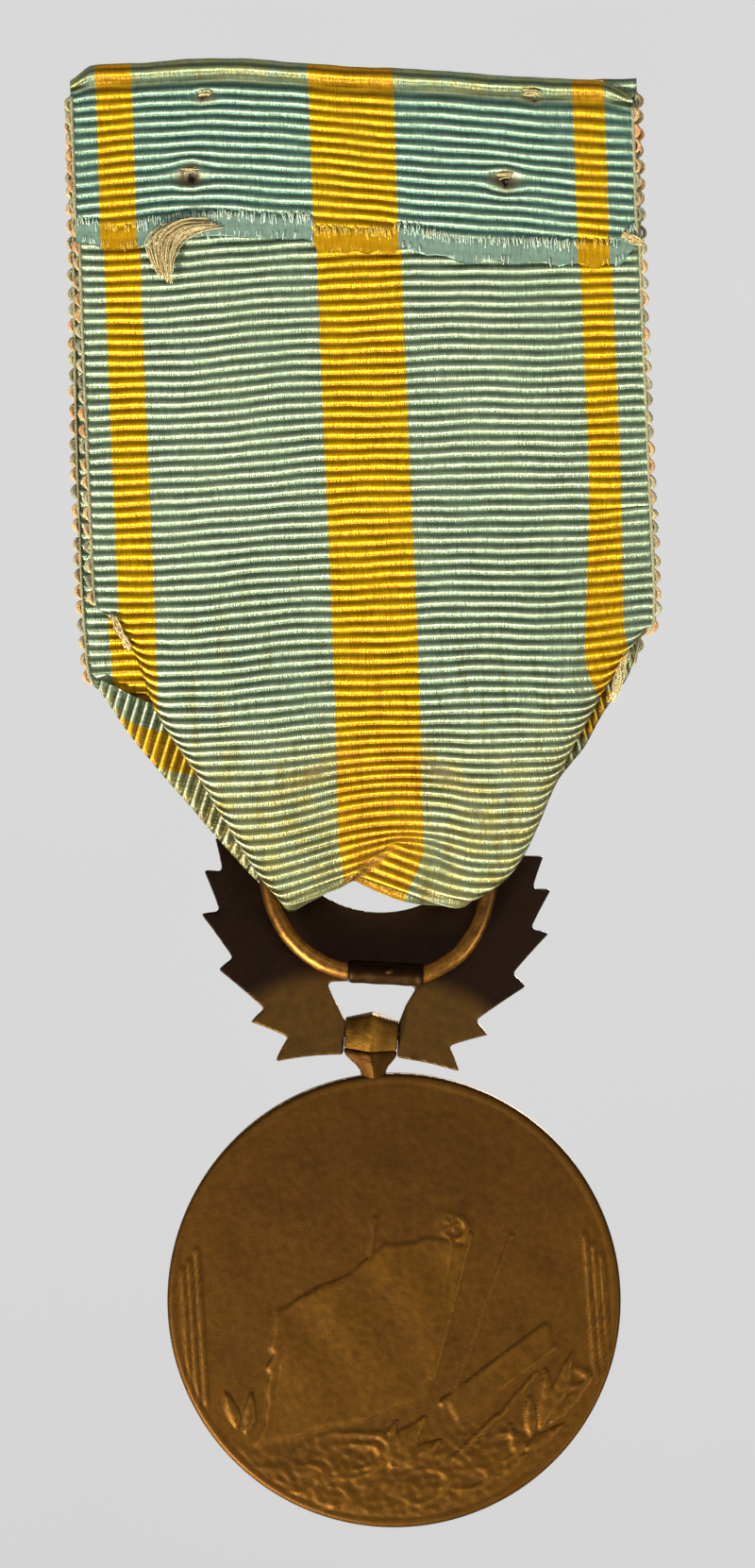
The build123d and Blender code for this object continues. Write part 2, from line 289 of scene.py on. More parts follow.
class Nodes:
    """A short way to write a node tree."""

    def __init__(self, name):
        self.material = bpy.data.materials.new(name)
        self.material.use_nodes = True
        self.tree = self.material.node_tree
        self.tree.nodes.clear()
        self.shader = self.tree.nodes.new("ShaderNodeBsdfPrincipled")
        output = self.tree.nodes.new("ShaderNodeOutputMaterial")
        self.tree.links.new(self.shader.outputs[0], output.inputs["Surface"])

    def put(self, socket, value):
        """Links a socket to another socket, or sets its value."""
        if isinstance(value, bpy.types.NodeSocket):
            self.tree.links.new(value, socket)
        else:
            socket.default_value = value

    def node(self, kind, **inputs):
        """Adds a node with the named inputs, and gives its first output."""
        made = self.tree.nodes.new(kind)
        for key, value in inputs.items():
            self.put(made.inputs[key], value)
        return made.outputs[0]

    def place(self, scale=1.0):
        """Object coordinates in millimetres, times scale."""
        coordinate = self.tree.nodes.new("ShaderNodeTexCoord").outputs["Object"]
        made = self.tree.nodes.new("ShaderNodeVectorMath")
        made.operation = "SCALE"
        self.put(made.inputs[0], coordinate)
        made.inputs["Scale"].default_value = scale / MM
        return made.outputs[0]

    def number(self, name):
        """Reads a number stored on the mesh."""
        made = self.tree.nodes.new("ShaderNodeAttribute")
        made.attribute_name = name
        return made.outputs["Fac"]

    def math(self, operation, a, b=0.5, clamp=False):
        """Adds a math node; the clamp keeps its result between 0 and 1."""
        made = self.tree.nodes.new("ShaderNodeMath")
        made.operation = operation
        made.use_clamp = clamp
        self.put(made.inputs[0], a)
        self.put(made.inputs[1], b)
        return made.outputs[0]

    def vector(self, x, y, z):
        return self.node("ShaderNodeCombineXYZ", X=x, Y=y, Z=z)

    def stretched(self, across, wide, along, long, layer):
        """A place on the strip, stretched, for noise with a grain."""
        return self.vector(self.math("MULTIPLY", across, wide), self.math("MULTIPLY", along, long), layer)

    def noise(self, vector, scale, detail=3.0, roughness=0.55):
        return self.node(
            "ShaderNodeTexNoise", Vector=vector, Scale=scale, Detail=detail, Roughness=roughness)

    def ramp(self, value, stops):
        """A colour ramp; each stop is (place, colour) or (place, grey)."""
        made = self.tree.nodes.new("ShaderNodeValToRGB")
        elements = made.color_ramp.elements
        while len(elements) < len(stops):
            elements.new(0.5)
        for element, (place, colour) in zip(elements, stops):
            element.position = place
            element.color = colour if hasattr(colour, "__len__") else (colour, colour, colour, 1)
        self.put(made.inputs[0], value)
        return made.outputs[0]

    def mix(self, amount, a, b, blend="MIX"):
        """Mixes two colours, all a at 0 and all b at 1."""
        made = self.tree.nodes.new("ShaderNodeMix")
        made.data_type = "RGBA"
        made.blend_type = blend
        self.put(made.inputs[0], amount)
        self.put(made.inputs[6], a)
        self.put(made.inputs[7], b)
        return made.outputs[2]

    def times(self, a, b):
        """Colour a multiplied by b."""
        return self.mix(1.0, a, b, "MULTIPLY")

    def bump(self, height, distance):
        """A shading normal from a height of 0 to 1, distance in millimetres."""
        made = self.tree.nodes.new("ShaderNodeBump")
        made.inputs["Strength"].default_value = 1.0
        made.inputs["Distance"].default_value = distance * MM
        self.put(made.inputs["Height"], height)
        return made.outputs[0]

    def finish(self, **inputs):
        """Sets the shader's named inputs, and gives the material."""
        for key, value in inputs.items():
            self.put(self.shader.inputs[key.replace("_", " ")], value)
        return self.material


def srgb(red, green, blue):
    """A linear colour from an 8-bit screen colour."""
    def channel(value):
        value /= 255
        return value / 12.92 if value <= 0.04045 else ((value + 0.055) / 1.055) ** 2.4
    return (channel(red), channel(green), channel(blue), 1.0)


def stripe_mask(nodes, across, centre, half_width, softness=0.05):
    """1 inside a stripe of the strip, 0 outside."""
    distance = nodes.math("ABSOLUTE", nodes.math("SUBTRACT", across, centre))
    inside = nodes.math("SUBTRACT", half_width, distance)
    return nodes.math("ADD", nodes.math("DIVIDE", inside, softness), 0.5, clamp=True)


def yellow_stripes(n, across, strip):
    """1 inside the three yellow stripes, their edges wandering a little."""
    wander = n.math("MULTIPLY", n.math("SUBTRACT", n.noise(strip, 1.5, 2.0), 0.5), 0.16)
    wavy = n.math("ADD", across, wander)
    low, high = SIDE_STRIPE
    half = (high - low) / 2
    middle = stripe_mask(n, wavy, 0.0, CENTRE_STRIPE)
    plus = stripe_mask(n, wavy, (low + high) / 2, half)
    minus = stripe_mask(n, wavy, -(low + high) / 2, half - 0.15)
    return n.math("MAXIMUM", middle, n.math("MAXIMUM", plus, minus))


def silk_with_painted_rib_light(n, across, along, strip, yellow, fibres):
    """The cloth's colour before any dirt, with light painted in: painted highlights on the rib crests and
    painted shade in the grooves, both stronger round a fold.
    """
    bare = n.number("bare")
    wrap = n.number("wrap")
    streaks = n.noise(n.stretched(across, 0.9, along, 1.6, 7.0), 1.0, 3.0, 0.6)
    clouds = n.noise(strip, 0.16, 3.0, 0.5)
    phase = n.math("FRACT", n.math("DIVIDE", along, RIB_PITCH))
    # Painted highlight: a bright line along the rib crests, stronger round a fold.
    crest_highlight = n.ramp(phase, [(0.50, 0.0), (0.60, 1.0), (0.66, 1.0), (0.76, 0.0)])
    shine = n.math("ADD", n.math("MULTIPLY", wrap, 0.38), 0.62)
    crest_highlight = n.math("MULTIPLY", crest_highlight, n.math("SUBTRACT", shine, bare), clamp=True)
    # Painted shade: the grooves between the ribs.
    valley_shade = n.ramp(phase, [(0.0, 1.0), (0.2, 0.45), (0.42, 0.1), (0.72, 0.1), (0.84, 1.0)])
    valley_shade = n.math("MULTIPLY", valley_shade, n.math("SUBTRACT", 1.0, bare), clamp=True)
    frayed = n.math("MULTIPLY", bare, 0.7)
    blue_cloth = n.mix(clouds, srgb(120, 140, 114), srgb(136, 152, 124))
    blue_cloth = n.mix(n.math("MULTIPLY", n.number("fresh"), 0.8), blue_cloth, srgb(98, 136, 124))
    blue_cloth = n.mix(frayed, blue_cloth, srgb(146, 170, 148))
    blue_cloth = n.mix(crest_highlight, blue_cloth, srgb(216, 224, 178))
    yellow_cloth = n.mix(clouds, srgb(192, 138, 0), srgb(206, 150, 1))
    yellow_cloth = n.mix(frayed, yellow_cloth, srgb(206, 150, 2))
    yellow_cloth = n.mix(crest_highlight, yellow_cloth, srgb(246, 206, 18))
    # Painted highlight, near white, on the crests round the folds and the bottom turn.
    fold_highlight = n.math("MULTIPLY", crest_highlight, n.math("MULTIPLY", wrap, 0.85))
    blue_cloth = n.mix(fold_highlight, blue_cloth, srgb(252, 252, 228))
    yellow_cloth = n.mix(fold_highlight, yellow_cloth, srgb(255, 232, 70))
    cloth = n.mix(yellow, blue_cloth, yellow_cloth)
    # Painted shade darkens the grooves.
    cloth = n.mix(n.math("MULTIPLY", valley_shade, 0.8), cloth, n.times(cloth, srgb(188, 192, 180)))
    cloth = n.times(cloth, n.ramp(fibres, [(0.25, 0.70), (0.75, 1.2)]))
    cloth = n.times(cloth, n.ramp(streaks, [(0.3, 0.88), (0.7, 1.1)]))
    # Deeper painted shade in the grooves round the folds and the bottom turn.
    return n.mix(n.math("MULTIPLY", valley_shade, wrap), cloth, n.times(cloth, srgb(150, 150, 128)))


def soiled_silk(n, across, along, strip, yellow, cloth):
    """Dirt over the cloth: tan soiling, specks, streaks down the cloth and rusty stains at the pin holes;
    the same browns also paint the shade under the crease over the ring.
    """
    rust_and_crease_shade = n.number("rust_and_crease_shade")
    blotches = n.noise(strip, 0.9, 4.0, 0.6)
    dirty = n.math("MULTIPLY", n.number("soil"), n.ramp(blotches, [(0.38, 0.35), (0.62, 1.0)]), clamp=True)
    soiled = n.times(cloth, srgb(246, 228, 164))
    soiled = n.mix(n.math("SUBTRACT", 0.4, n.math("MULTIPLY", yellow, 0.35)), soiled, srgb(160, 142, 88))
    cloth = n.mix(dirty, cloth, soiled)
    specks = n.ramp(n.noise(strip, 3.2, 2.0, 0.5), [(0.69, 0.0), (0.78, 0.5)])
    cloth = n.mix(specks, cloth, srgb(134, 116, 62))
    streaky = n.noise(n.stretched(across, 1.2, along, 0.14, 9.0), 1.0, 3.0, 0.6)
    columns = n.math("MULTIPLY", n.number("low"), n.ramp(streaky, [(0.52, 0.0), (0.70, 0.6)]))
    cloth = n.mix(columns, cloth, n.times(cloth, srgb(206, 176, 122)))
    patchy = n.ramp(n.noise(strip, 2.6, 3.0), [(0.3, 0.6), (0.7, 1.3)])
    patchy = n.math("MULTIPLY", rust_and_crease_shade, patchy, clamp=True)
    # At the pin holes these browns are rusty stains; under the crease over the ring they are painted shade.
    browns = [(0.0, srgb(150, 128, 82)), (0.6, srgb(118, 78, 40)), (0.95, srgb(26, 18, 12))]
    return n.mix(patchy, cloth, n.ramp(patchy, browns))


def silk_material():
    """Ribbed silk: pale blue with yellow stripes, soiled low down, with rusty stains at the pin holes,
    painted highlights on the rib crests, and painted shade in the grooves and under the crease over the
    ring.
    """
    n = Nodes("ribbed_silk")
    across = n.number("across")
    along = n.number("along")
    strip = n.vector(across, along, 0.0)
    fibres = n.noise(n.stretched(across, 9.0, along, 0.7, 0.0), 1.0, 2.0, 0.6)
    yellow = yellow_stripes(n, across, strip)
    cloth = silk_with_painted_rib_light(n, across, along, strip, yellow, fibres)
    cloth = soiled_silk(n, across, along, strip, yellow, cloth)
    twist = n.math("SUBTRACT", fibres, 0.5)
    fine = n.noise(n.stretched(across, 20.0, along, 3.0, 3.0), 1.0, 2.0)
    normal = n.bump(n.math("ADD", twist, n.math("MULTIPLY", fine, 0.6)), 0.05)
    rough = n.ramp(fibres, [(0.2, 0.30), (0.8, 0.48)])
    made = n.finish(Base_Color=cloth, Roughness=rough, Normal=normal)
    n.shader.inputs["Metallic"].default_value = 0.55
    n.shader.inputs["Specular IOR Level"].default_value = 0.35
    n.shader.inputs["Specular Tint"].default_value = (1.0, 0.94, 0.72, 1.0)
    return made


def thread_material(name, colours):
    """Twisted thread; the tint number picks its colour."""
    n = Nodes(name)
    tint = n.number("tint")
    colour = n.ramp(tint, [(i / (len(colours) - 1), srgb(*c)) for i, c in enumerate(colours)])
    fuzz = n.noise(n.place(), 6.0, 3.0)
    colour = n.times(colour, n.ramp(fuzz, [(0.3, 0.6), (0.7, 1.25)]))
    normal = n.bump(n.noise(n.place(), 14.0, 2.0), 0.06)
    made = n.finish(Base_Color=colour, Roughness=0.62, Normal=normal)
    n.shader.inputs["Sheen Weight"].default_value = 0.3
    return made


def bronze_material(name, dark, mid, light, roughness, metallic, grain=0.03, even=False):
    """Toned bronze: patina in patches, brighter where it stands out worn and where a highlight is painted,
    darker in its patina and where shade is painted. Even means less mottled.
    """
    n = Nodes(name)
    place = n.place()
    patches = n.noise(place, 0.35, 5.0, 0.62)
    stain = n.noise(place, 1.6, 4.0, 0.6)
    speck = n.noise(place, 7.0, 2.0, 0.5)
    wear_and_highlight = n.number("wear_and_highlight")
    base = n.ramp(patches, [(0.3, srgb(*dark)), (0.5, srgb(*mid)), (0.72, srgb(*mid))])
    # Lighter where the metal is worn and where a highlight is painted.
    worn = n.math("MULTIPLY", wear_and_highlight, n.ramp(stain, [(0.3, 0.35), (0.7, 1.0)]), clamp=True)
    colour = n.mix(worn, base, srgb(*light))
    mottled = n.times(colour, n.ramp(stain, [(0.28, 0.72), (0.72, 1.16)]))
    colour = n.mix(0.35 if even else 1.0, colour, mottled)
    # Darker with patina in hollows and where shade is painted.
    colour = n.mix(n.number("patina_and_shade"), colour, n.times(colour, srgb(122, 106, 98)))
    pits = n.ramp(speck, [(0.24, 1.0), (0.34, 0.0)])
    colour = n.mix(n.math("MULTIPLY", pits, 0.75), colour, srgb(40, 27, 15))
    rough = n.ramp(stain, [(0.3, roughness[0]), (0.75, roughness[1])])
    swirls = n.noise(n.vector(n.math("MULTIPLY", stain, 2.0), 0.0, 0.0), 1.0)
    height = n.math("ADD", n.math("MULTIPLY", speck, 0.6), n.math("MULTIPLY", stain, 0.4 if even else 1.0))
    height = n.math("ADD", height, n.math("MULTIPLY", swirls, 0.1))
    return n.finish(Base_Color=colour, Roughness=rough, Metallic=metallic, Normal=n.bump(height, grain))


# ---------------------------------------------------------------- ribbon

def panel_level(down):
    """How far a long face's middle lies from the pocket's middle."""
    return soft_line([(0.17, 0), (0.17, 1.2), (0.45, 32), (1.2, 43.5), (1.2, 60)], down, 2.5)


def drawn_up(x, down):
    """How far the strip's rows are drawn up over the ring."""
    middle = softened(RISE_MIDDLE, x, 0.5) * softened(RISE_GROWTH, down, 1.0)
    edge = softened(EDGE_RISE, x, 0.35)
    return middle + (edge - middle) * smooth_step(down, 50.5, 54.5)


def weft_place(x, down):
    """Where along the strip the rib at a place lies: two sets of ribs meet at the crease over the ring."""
    middle = softened(RISE_MIDDLE, x, 0.3)
    above = softened(RISE_ABOVE, x, 0.3)
    row = down
    for attempt in range(5):
        growth = softened(RISE_GROWTH, row, 0.6)
        low = smooth_step(row, 51.9, 54.1)
        rise = middle * growth + (above * (1 + 0.2 * smooth_step(row, 54.0, 55.5)) - middle * growth) * low
        row = down + rise
    below = down + softened(RISE_BELOW, x, 0.3)
    width = 0.07 + 0.8 * smooth_step(-x, 0.5, 3.0)
    return row + (below - row) * smooth_step(down - along_points(CREASE, x), -width, width)


def rib_shift(x, down, down_here, along, lowest):
    """How far the ribs slip past the strip's own rows, so that they run as they do over the ring."""
    shift = smooth_step(down_here, 43.0, 46.0) * (weft_place(x, down) - BACK_START - along[:, None])
    shift[lowest + 1:] = shift[lowest] * smooth_step(down_here[lowest + 1:], 44.0, 55.0)
    last = FLAP_COLUMNS + OUTER_COLUMNS
    shift[:, :FLAP_COLUMNS] = shift[:, FLAP_COLUMNS:FLAP_COLUMNS + 1]
    shift[:, last + 1:] = shift[:, last:last + 1]
    return shift


def top_slope(x):
    """How the rolled top falls away on both sides of its highest place."""
    offset = 9.5 - x
    return 0.094 * offset + 0.07 * (np.sqrt(offset ** 2 + 2.0) - offset) - 0.85


def rib_ripple(x, down):
    """Small unevenness of the ribs along the weave."""
    ripple = 0.045 * np.sin(0.55 * x + 0.35 * down + 1.0) + 0.022 * np.sin(1.35 * x - 0.8 * down + 2.0)
    return ripple + 0.010 * np.sin(3.3 * x + 1.7 * down)


def main_drift(x, down):
    """How far the long faces' ribs leave level, from the top to the bottom fold."""
    level = 0.42 * smooth_step(x, 3, 13) + 0.2 * smooth_step(-x, 6, 13)
    level = level - 0.35 * smooth_step(-x, 14, 19) * (down > 30)
    growth = np.clip((down - 44.0) / 11.0, 0, 1)
    return level * (1 - growth) - drawn_up(x, down)


def pin_holes(large, small):
    """Every pin hole as (x, down, size), with the two sizes asked for."""
    return [(x, down, large) for x, down in LARGE_HOLES] + [(x, down, small) for x, down in SMALL_HOLES]


def hole_spread(x, down):
    """Ribs pushed apart round the pin holes."""
    moved = np.zeros(np.broadcast(x, down).shape)
    for hole_x, hole_down, size in pin_holes(0.75, 0.45):
        along = down - hole_down
        reach = np.hypot(x - hole_x, along) / size
        moved += 0.55 * size * np.tanh(along / 0.3) * np.exp(-(reach / 1.35) ** 2)
    return moved


def hole_dent(x, down):
    """How deep the cloth is pushed in at the pin holes."""
    dent = np.zeros(np.broadcast(x, down).shape)
    for hole_x, hole_down, size in pin_holes(0.55, 0.3):
        reach = np.hypot((x - hole_x) * 0.9, down - hole_down) / size
        dent += 0.34 * np.exp(-reach ** 4)
    return dent


def strip_section():
    """The strip's path seen from the side, as (y, down): back, turn, front, roll over the top, hem."""
    long_face = np.linspace(BACK_START, TURN_START, FACE_POINTS)
    path = [(panel_level(d), d) for d in long_face]
    for angle in np.linspace(0, math.pi, 25)[1:-1]:
        path.append((POCKET_HALF * math.cos(angle), TURN_START + TURN_DEPTH * math.sin(angle)))
    path += [(-panel_level(d), d) for d in np.linspace(TURN_START, ROLL_START, FACE_POINTS)]
    start = -float(panel_level(0.0))
    middle = (start + HEM_LEVEL) / 2
    radius = (HEM_LEVEL - start) / 2
    for angle in np.linspace(0, math.pi, 13)[1:-1]:
        path.append((middle - radius * math.cos(angle), ROLL_START - radius * math.sin(angle)))
    path += [(HEM_LEVEL + HEM_FALL * (d - ROLL_START), d) for d in np.linspace(ROLL_START, HEM_REACH, 60)]
    return np.array(path, float)


def resampled(path, step):
    """The path at even steps, with its length coordinate and outward direction."""
    length = np.concatenate([[0], np.cumsum(np.hypot(*np.diff(path, axis=0).T))])
    along = np.arange(0, length[-1], step)
    y = np.interp(along, length, path[:, 0])
    down = np.interp(along, length, path[:, 1])
    slope_y = np.gradient(y)
    slope_down = np.gradient(down)
    size = np.hypot(slope_y, slope_down)
    return along, y, down, slope_down / size, -slope_y / size


def strip_sides(down, is_front, is_hem):
    """How far the strip reaches to both sides on each row, folds counted as edges."""
    plus = np.where(is_front, soft_line(FRONT_SIDE_PLUS, down), soft_line(BACK_SIDE_PLUS, down))
    minus = np.where(is_front, soft_line(FRONT_SIDE_MINUS, down), soft_line(BACK_SIDE_MINUS, down))
    plus = np.where(is_hem, SELVEDGE_PLUS, np.minimum(plus, SELVEDGE_PLUS))
    minus = np.where(is_hem, SELVEDGE_MINUS, np.minimum(minus, SELVEDGE_MINUS))
    return plus, minus


def row_shift(down, is_front, is_hem):
    """How far each row lies to one side."""
    shift = np.where(is_front, soft_line(FRONT_SHIFT, down, 3.0), 0.12 * np.sin(down / 9.0))
    near_top = smooth_step(-down, -3.0, 0.0)
    return np.where(is_hem, 0.3 * (1 - near_top) + 0.35 * near_top, shift)


def strip_columns(side_plus, side_minus):
    """The columns: where each lies on the flat strip, the edge or fold it starts from, and 1 on a flap."""
    share = np.linspace(0, 1, OUTER_COLUMNS + 1)
    share = share - CLOSER * np.sin(4 * math.pi * share) / (4 * math.pi)
    outer = -side_minus[:, None] + (side_plus + side_minus)[:, None] * share
    flap_share = np.linspace(0, 1, FLAP_COLUMNS + 1)[1:]
    flap_plus = side_plus[:, None] + (SELVEDGE_PLUS - side_plus)[:, None] * flap_share
    flap_minus = -side_minus[:, None] - (SELVEDGE_MINUS - side_minus)[:, None] * flap_share[::-1]
    flat_x = np.hstack([flap_minus, outer, flap_plus])
    fold_plus = np.repeat(side_plus[:, None], FLAP_COLUMNS, 1)
    fold_minus = np.repeat(-side_minus[:, None], FLAP_COLUMNS, 1)
    base_x = np.hstack([fold_minus, outer, fold_plus])
    on_flap = np.zeros(flat_x.shape)
    on_flap[:, :FLAP_COLUMNS] = 1
    on_flap[:, -FLAP_COLUMNS:] = 1
    return flat_x, base_x, on_flap


def flap_lean(down, is_front, sign):
    """How far a folded-in flap leans to the middle as it rises, 0 for straight up."""
    nearness = smooth_step(down, 49.0, 55.5)
    lean = np.where(is_front, 0.33, 0.45) * (1 - nearness) + 0.50 * nearness
    return lean[:, None] * np.where(sign > 0, 1.0, 0.75)


def gathering(base_x, down, side_minus):
    """How far the columns are drawn to one side low on the strip, where it is gathered over the ring."""
    to_edge = smooth_step(base_x + side_minus[:, None], 0.0, 2.5)
    low = 0.95 * bell(base_x + 13.5, 3.5) * smooth_step(down, 26.0, 42.0)[:, None] * to_edge
    gather = 1.5 * bell(base_x + 2.8, 2.6) - 0.45 * bell(base_x - 2.8, 1.2)
    return low + gather * smooth_step(down, 52.7, 57.2)[:, None]


def hem_end(base_x, down, is_hem):
    """Stops the hem's rows at its ragged cut, and tells how bare of ribs the cloth is there."""
    fringe_start = along_points(HEM_CUT, base_x) - HEM_FRINGE
    number = np.arange(base_x.shape[1])
    ragged = 0.16 * np.sin(3.1 * number) * np.sin(1.7 * number + 1.0)
    cut = fringe_start + HEM_FRINGE + ragged
    down = np.where(is_hem[:, None] & (down > cut), cut, down)
    bare = np.where(is_hem[:, None], smooth_step(down - fringe_start, -0.1, 0.35), 0.0)
    return down, bare


def row_slope(base_x, down, is_front, is_hem):
    """How far the rows leave level on every part of the strip."""
    slope = top_slope(base_x)
    on_hem = np.where(is_hem[:, None], 1.0, 0.0)
    near_top = np.where(is_hem[:, None], 1.0, np.exp(-(down / 9.0) ** 2) * is_front[:, None])
    field = on_hem * slope * (1 + (HEM_SLOPE - 1) * smooth_step(down, 1.0, 5.0))
    field += (1 - on_hem) * (main_drift(base_x, down) + near_top * slope)
    corner = 0.9 * smooth_step(base_x, 17.0, 18.6) + 0.8 * smooth_step(-base_x, 16.6, 18.6)
    corner = corner * np.exp(-(down / 1.6) ** 2)
    return field + corner * np.where(is_hem | is_front, 1.0, 0.0)[:, None]


def crease_step(x, down):
    """How far the cloth stands out above the crease over the ring, and the painted shade under it."""
    past = down - along_points(CREASE, x)
    ledge = 0.34 * np.exp(np.minimum(past, 0) / 1.5)
    drop = 0.46 * bell(past, 0.35) - 0.12 * np.exp(-np.maximum(past, 0) / 0.8)
    step = np.where(past < 0, ledge, drop) * smooth_step(x, -2.2, 1.0) * smooth_step(2.9 - x, 0, 0.8)
    shade = 0.95 * bell(past - 0.15, 0.22) * smooth_step(x, -0.9, 1.2) * smooth_step(2.7 - x, 0, 0.5)
    return step, shade


def ribbon_mesh():
    """One strip of ribbed silk, folded into the pocket that holds the ring."""
    along, y0, down0, out_y, out_down = resampled(strip_section(), RIB_PITCH / ROWS_PER_RIB)
    total = along[-1]
    rows = len(along)
    lowest = int(np.argmax(down0 * (along < total * 0.7)))
    highest = lowest + int(np.argmin(down0[lowest:]))
    number = np.arange(rows)
    is_hem = number > highest
    is_front = (number > lowest) & ~is_hem
    on_hem = np.where(is_hem, 1.0, 0.0)[:, None]
    on_back = np.where(y0 > 0.2, 1.0, 0.0)[:, None]

    # the rows and columns, sideways and down
    side_plus, side_minus = strip_sides(down0, is_front, is_hem)
    flat_x, base_x, on_flap = strip_columns(side_plus, side_minus)
    sign = np.sign(flat_x)
    beyond = np.abs(flat_x - base_x)
    lean = flap_lean(down0, is_front, sign)
    gathered = (1 - 0.16 * smooth_step(down0, 52.0, 55.0))[:, None]
    x = base_x + row_shift(down0, is_front, is_hem)[:, None] - sign * lean * beyond * gathered
    x += gathering(base_x, down0, side_minus)
    down_here, bare = hem_end(base_x, down0[:, None] + np.zeros_like(x), is_hem)
    field = row_slope(base_x, down_here, is_front, is_hem)
    down = down_here + field + rib_ripple(base_x, down_here) * (1 - on_flap * 0.7)
    down += hole_spread(x, down) * is_hem[:, None]
    along_ribs = along[:, None] + rib_shift(x, down, down_here, along, lowest)
    down -= np.sqrt(1 - lean ** 2) * beyond * gathered

    # the folds at the sides
    folded = np.where(sign > 0, (SELVEDGE_PLUS - side_plus)[:, None], (SELVEDGE_MINUS - side_minus)[:, None])
    folded = smooth_step(folded, 0.15, 0.8)
    inside = np.where(sign > 0, side_plus[:, None], side_minus[:, None]) - np.abs(flat_x)
    down -= 0.55 * folded * np.clip(1 - np.maximum(inside, 0) / 1.1, 0, 1) ** 2
    facing = 1 - folded * (1 - np.tanh(inside / 0.22))
    # wrap marks where the cloth wraps round a fold or the bottom turn; it raises the ribs there and
    # strengthens the painted highlights and painted groove shade.
    wrap = np.clip(on_flap * folded + folded * bell(inside, 0.8), 0, 1)
    wrap = np.maximum(wrap, smooth_step(down_here, TURN_START - 0.3, TURN_START + 0.4))

    # the ribs
    height = RIB_HEIGHT * (np.abs(np.sin(math.pi * along_ribs / RIB_PITCH)) ** 1.1 - 0.55)
    uneven = 1 + 0.16 * np.sin(1.3 * base_x + 0.9 * along[:, None])
    uneven += 0.1 * np.sin(0.37 * base_x - 0.23 * along[:, None])
    margin = smooth_step(np.abs(flat_x), SELVEDGE_PLUS - 0.35, SELVEDGE_PLUS)
    pressed = ring_print(x, down) * ~is_hem[:, None]
    height = height * uneven * (1 - 0.9 * bare) * (1 - 0.6 * margin)
    height = height * (1 + 0.45 * wrap) * (1 - 0.85 * pressed)
    offset = height * facing - LAYER_DROP / 2 * (1 - facing)

    # the depth
    on_face = np.abs(out_down)[:, None] < 0.35
    follow = np.sign(y0)[:, None] * panel_level(down)
    y = np.where(on_face & ~is_hem[:, None], follow, y0[:, None])
    billow = 0.07 * np.sin(0.31 * x + 0.12 * down) * np.sin(0.17 * down + 1.0)
    y = y + billow * smooth_step(down, 14.0, 24.0) * (1 - on_hem)
    step, shade = crease_step(x, down)
    y = y + on_back * step * (1 - on_flap)
    lift = bare * 0.05 - hole_dent(x, down) * on_hem
    lift = lift - 0.28 * bell(down - top_slope(base_x) - 1.55, 0.26) * on_hem
    hem_wave = 0.05 * np.sin(0.8 * x + 1.0) * on_hem * smooth_step(down_here, 6.0, 11.0)
    y = y + out_y[:, None] * (offset + lift) + hem_wave
    down = down + out_down[:, None] * offset

    points = np.stack([x, y, -down], axis=-1).reshape(-1, 3)
    made = mesh_object("ribbon", points, grid_faces(rows, x.shape[1]))
    # The crease's shade is painted shade, stored with the rusty pin-hole stains and the ring's pressed
    # stains.
    stains_and_crease_shade = rust_amount(x, down) * on_hem + (0.42 * pressed + on_back * shade) * (1 - on_flap)
    set_numbers(made, "across", flat_x)
    set_numbers(made, "along", along_ribs)
    set_numbers(made, "soil", soil_amount(x, down, inside, folded, (is_hem | is_front)[:, None]))
    set_numbers(made, "rust_and_crease_shade", stains_and_crease_shade)
    set_numbers(made, "bare", bare)
    set_numbers(made, "wrap", wrap)
    set_numbers(made, "low", smooth_step(down, 26.0, 42.0))
    set_numbers(made, "fresh", on_hem + np.zeros_like(x))
    weld(made)
    return made, total


def ring_print(x, down):
    """Where the ring has pressed the ribs flat, in a few patches of its arc."""
    reach = np.hypot(x - RING_CENTRE[0], down + RING_CENTRE[2])
    turn = np.degrees(np.arctan2(x - RING_CENTRE[0], -RING_CENTRE[2] - down))
    patches = bell(turn - 31, 8) + bell(turn + 36, 9) + 0.6 * bell(turn + 62, 9)
    return np.clip(bell(reach - RING_RADIUS, 0.55) * patches, 0, 1)


def soil_amount(x, down, inside, folded, rolled):
    """Tan soiling: low down, where the ring pressed, along the folds and on the rolled top."""
    low = 0.95 * smooth_step(down, 41.0, 51.0)
    reach = np.abs(np.hypot(x - RING_CENTRE[0], down + RING_CENTRE[2]) - RING_RADIUS)
    arc = 0.55 * bell(reach, 1.0) * smooth_step(-down, -53.5, -49.0)
    fold_edge = 0.9 * bell(inside, 0.55) * folded
    top = 0.95 * smooth_step(top_slope(x) + 1.75 - down, -0.25, 0.25) * rolled
    streaks = 0.45 * (bell(x - 10.0, 0.35) + bell(x - 11.9, 0.2)) * smooth_step(down, 32.0, 38.0)
    streaks = streaks + 0.4 * bell(x + 11.6, 0.3) * smooth_step(down, 40.0, 44.0)
    return np.clip(low + arc + ring_print(x, down) + fold_edge + top + streaks, 0, 1)


def rust_amount(x, down):
    """Brown staining round the pin holes, black in the middle."""
    stain = np.zeros(x.shape)
    for hole_x, hole_down, size in pin_holes(0.62, 0.36):
        reach = np.hypot(x - hole_x, (down - hole_down) * 0.95) / size
        stain += 1.15 * np.exp(-(reach / 1.15) ** 3)
    return np.clip(stain, 0, 1)


def weld(piece):
    """Merges the points that coincide, and drops the faces that close up."""
    work = bmesh.new()
    work.from_mesh(piece.data)
    bmesh.ops.remove_doubles(work, verts=work.verts, dist=2e-6)
    bmesh.ops.dissolve_degenerate(work, edges=work.edges, dist=1e-7)
    loose = [v for v in work.verts if not v.link_faces]
    bmesh.ops.delete(work, geom=loose, context="VERTS")
    work.to_mesh(piece.data)
    work.free()


def face_outward(piece):
    """Turns every face of a closed mesh outward."""
    work = bmesh.new()
    work.from_mesh(piece.data)
    bmesh.ops.recalc_face_normals(work, faces=work.faces)
    work.to_mesh(piece.data)
    work.free()


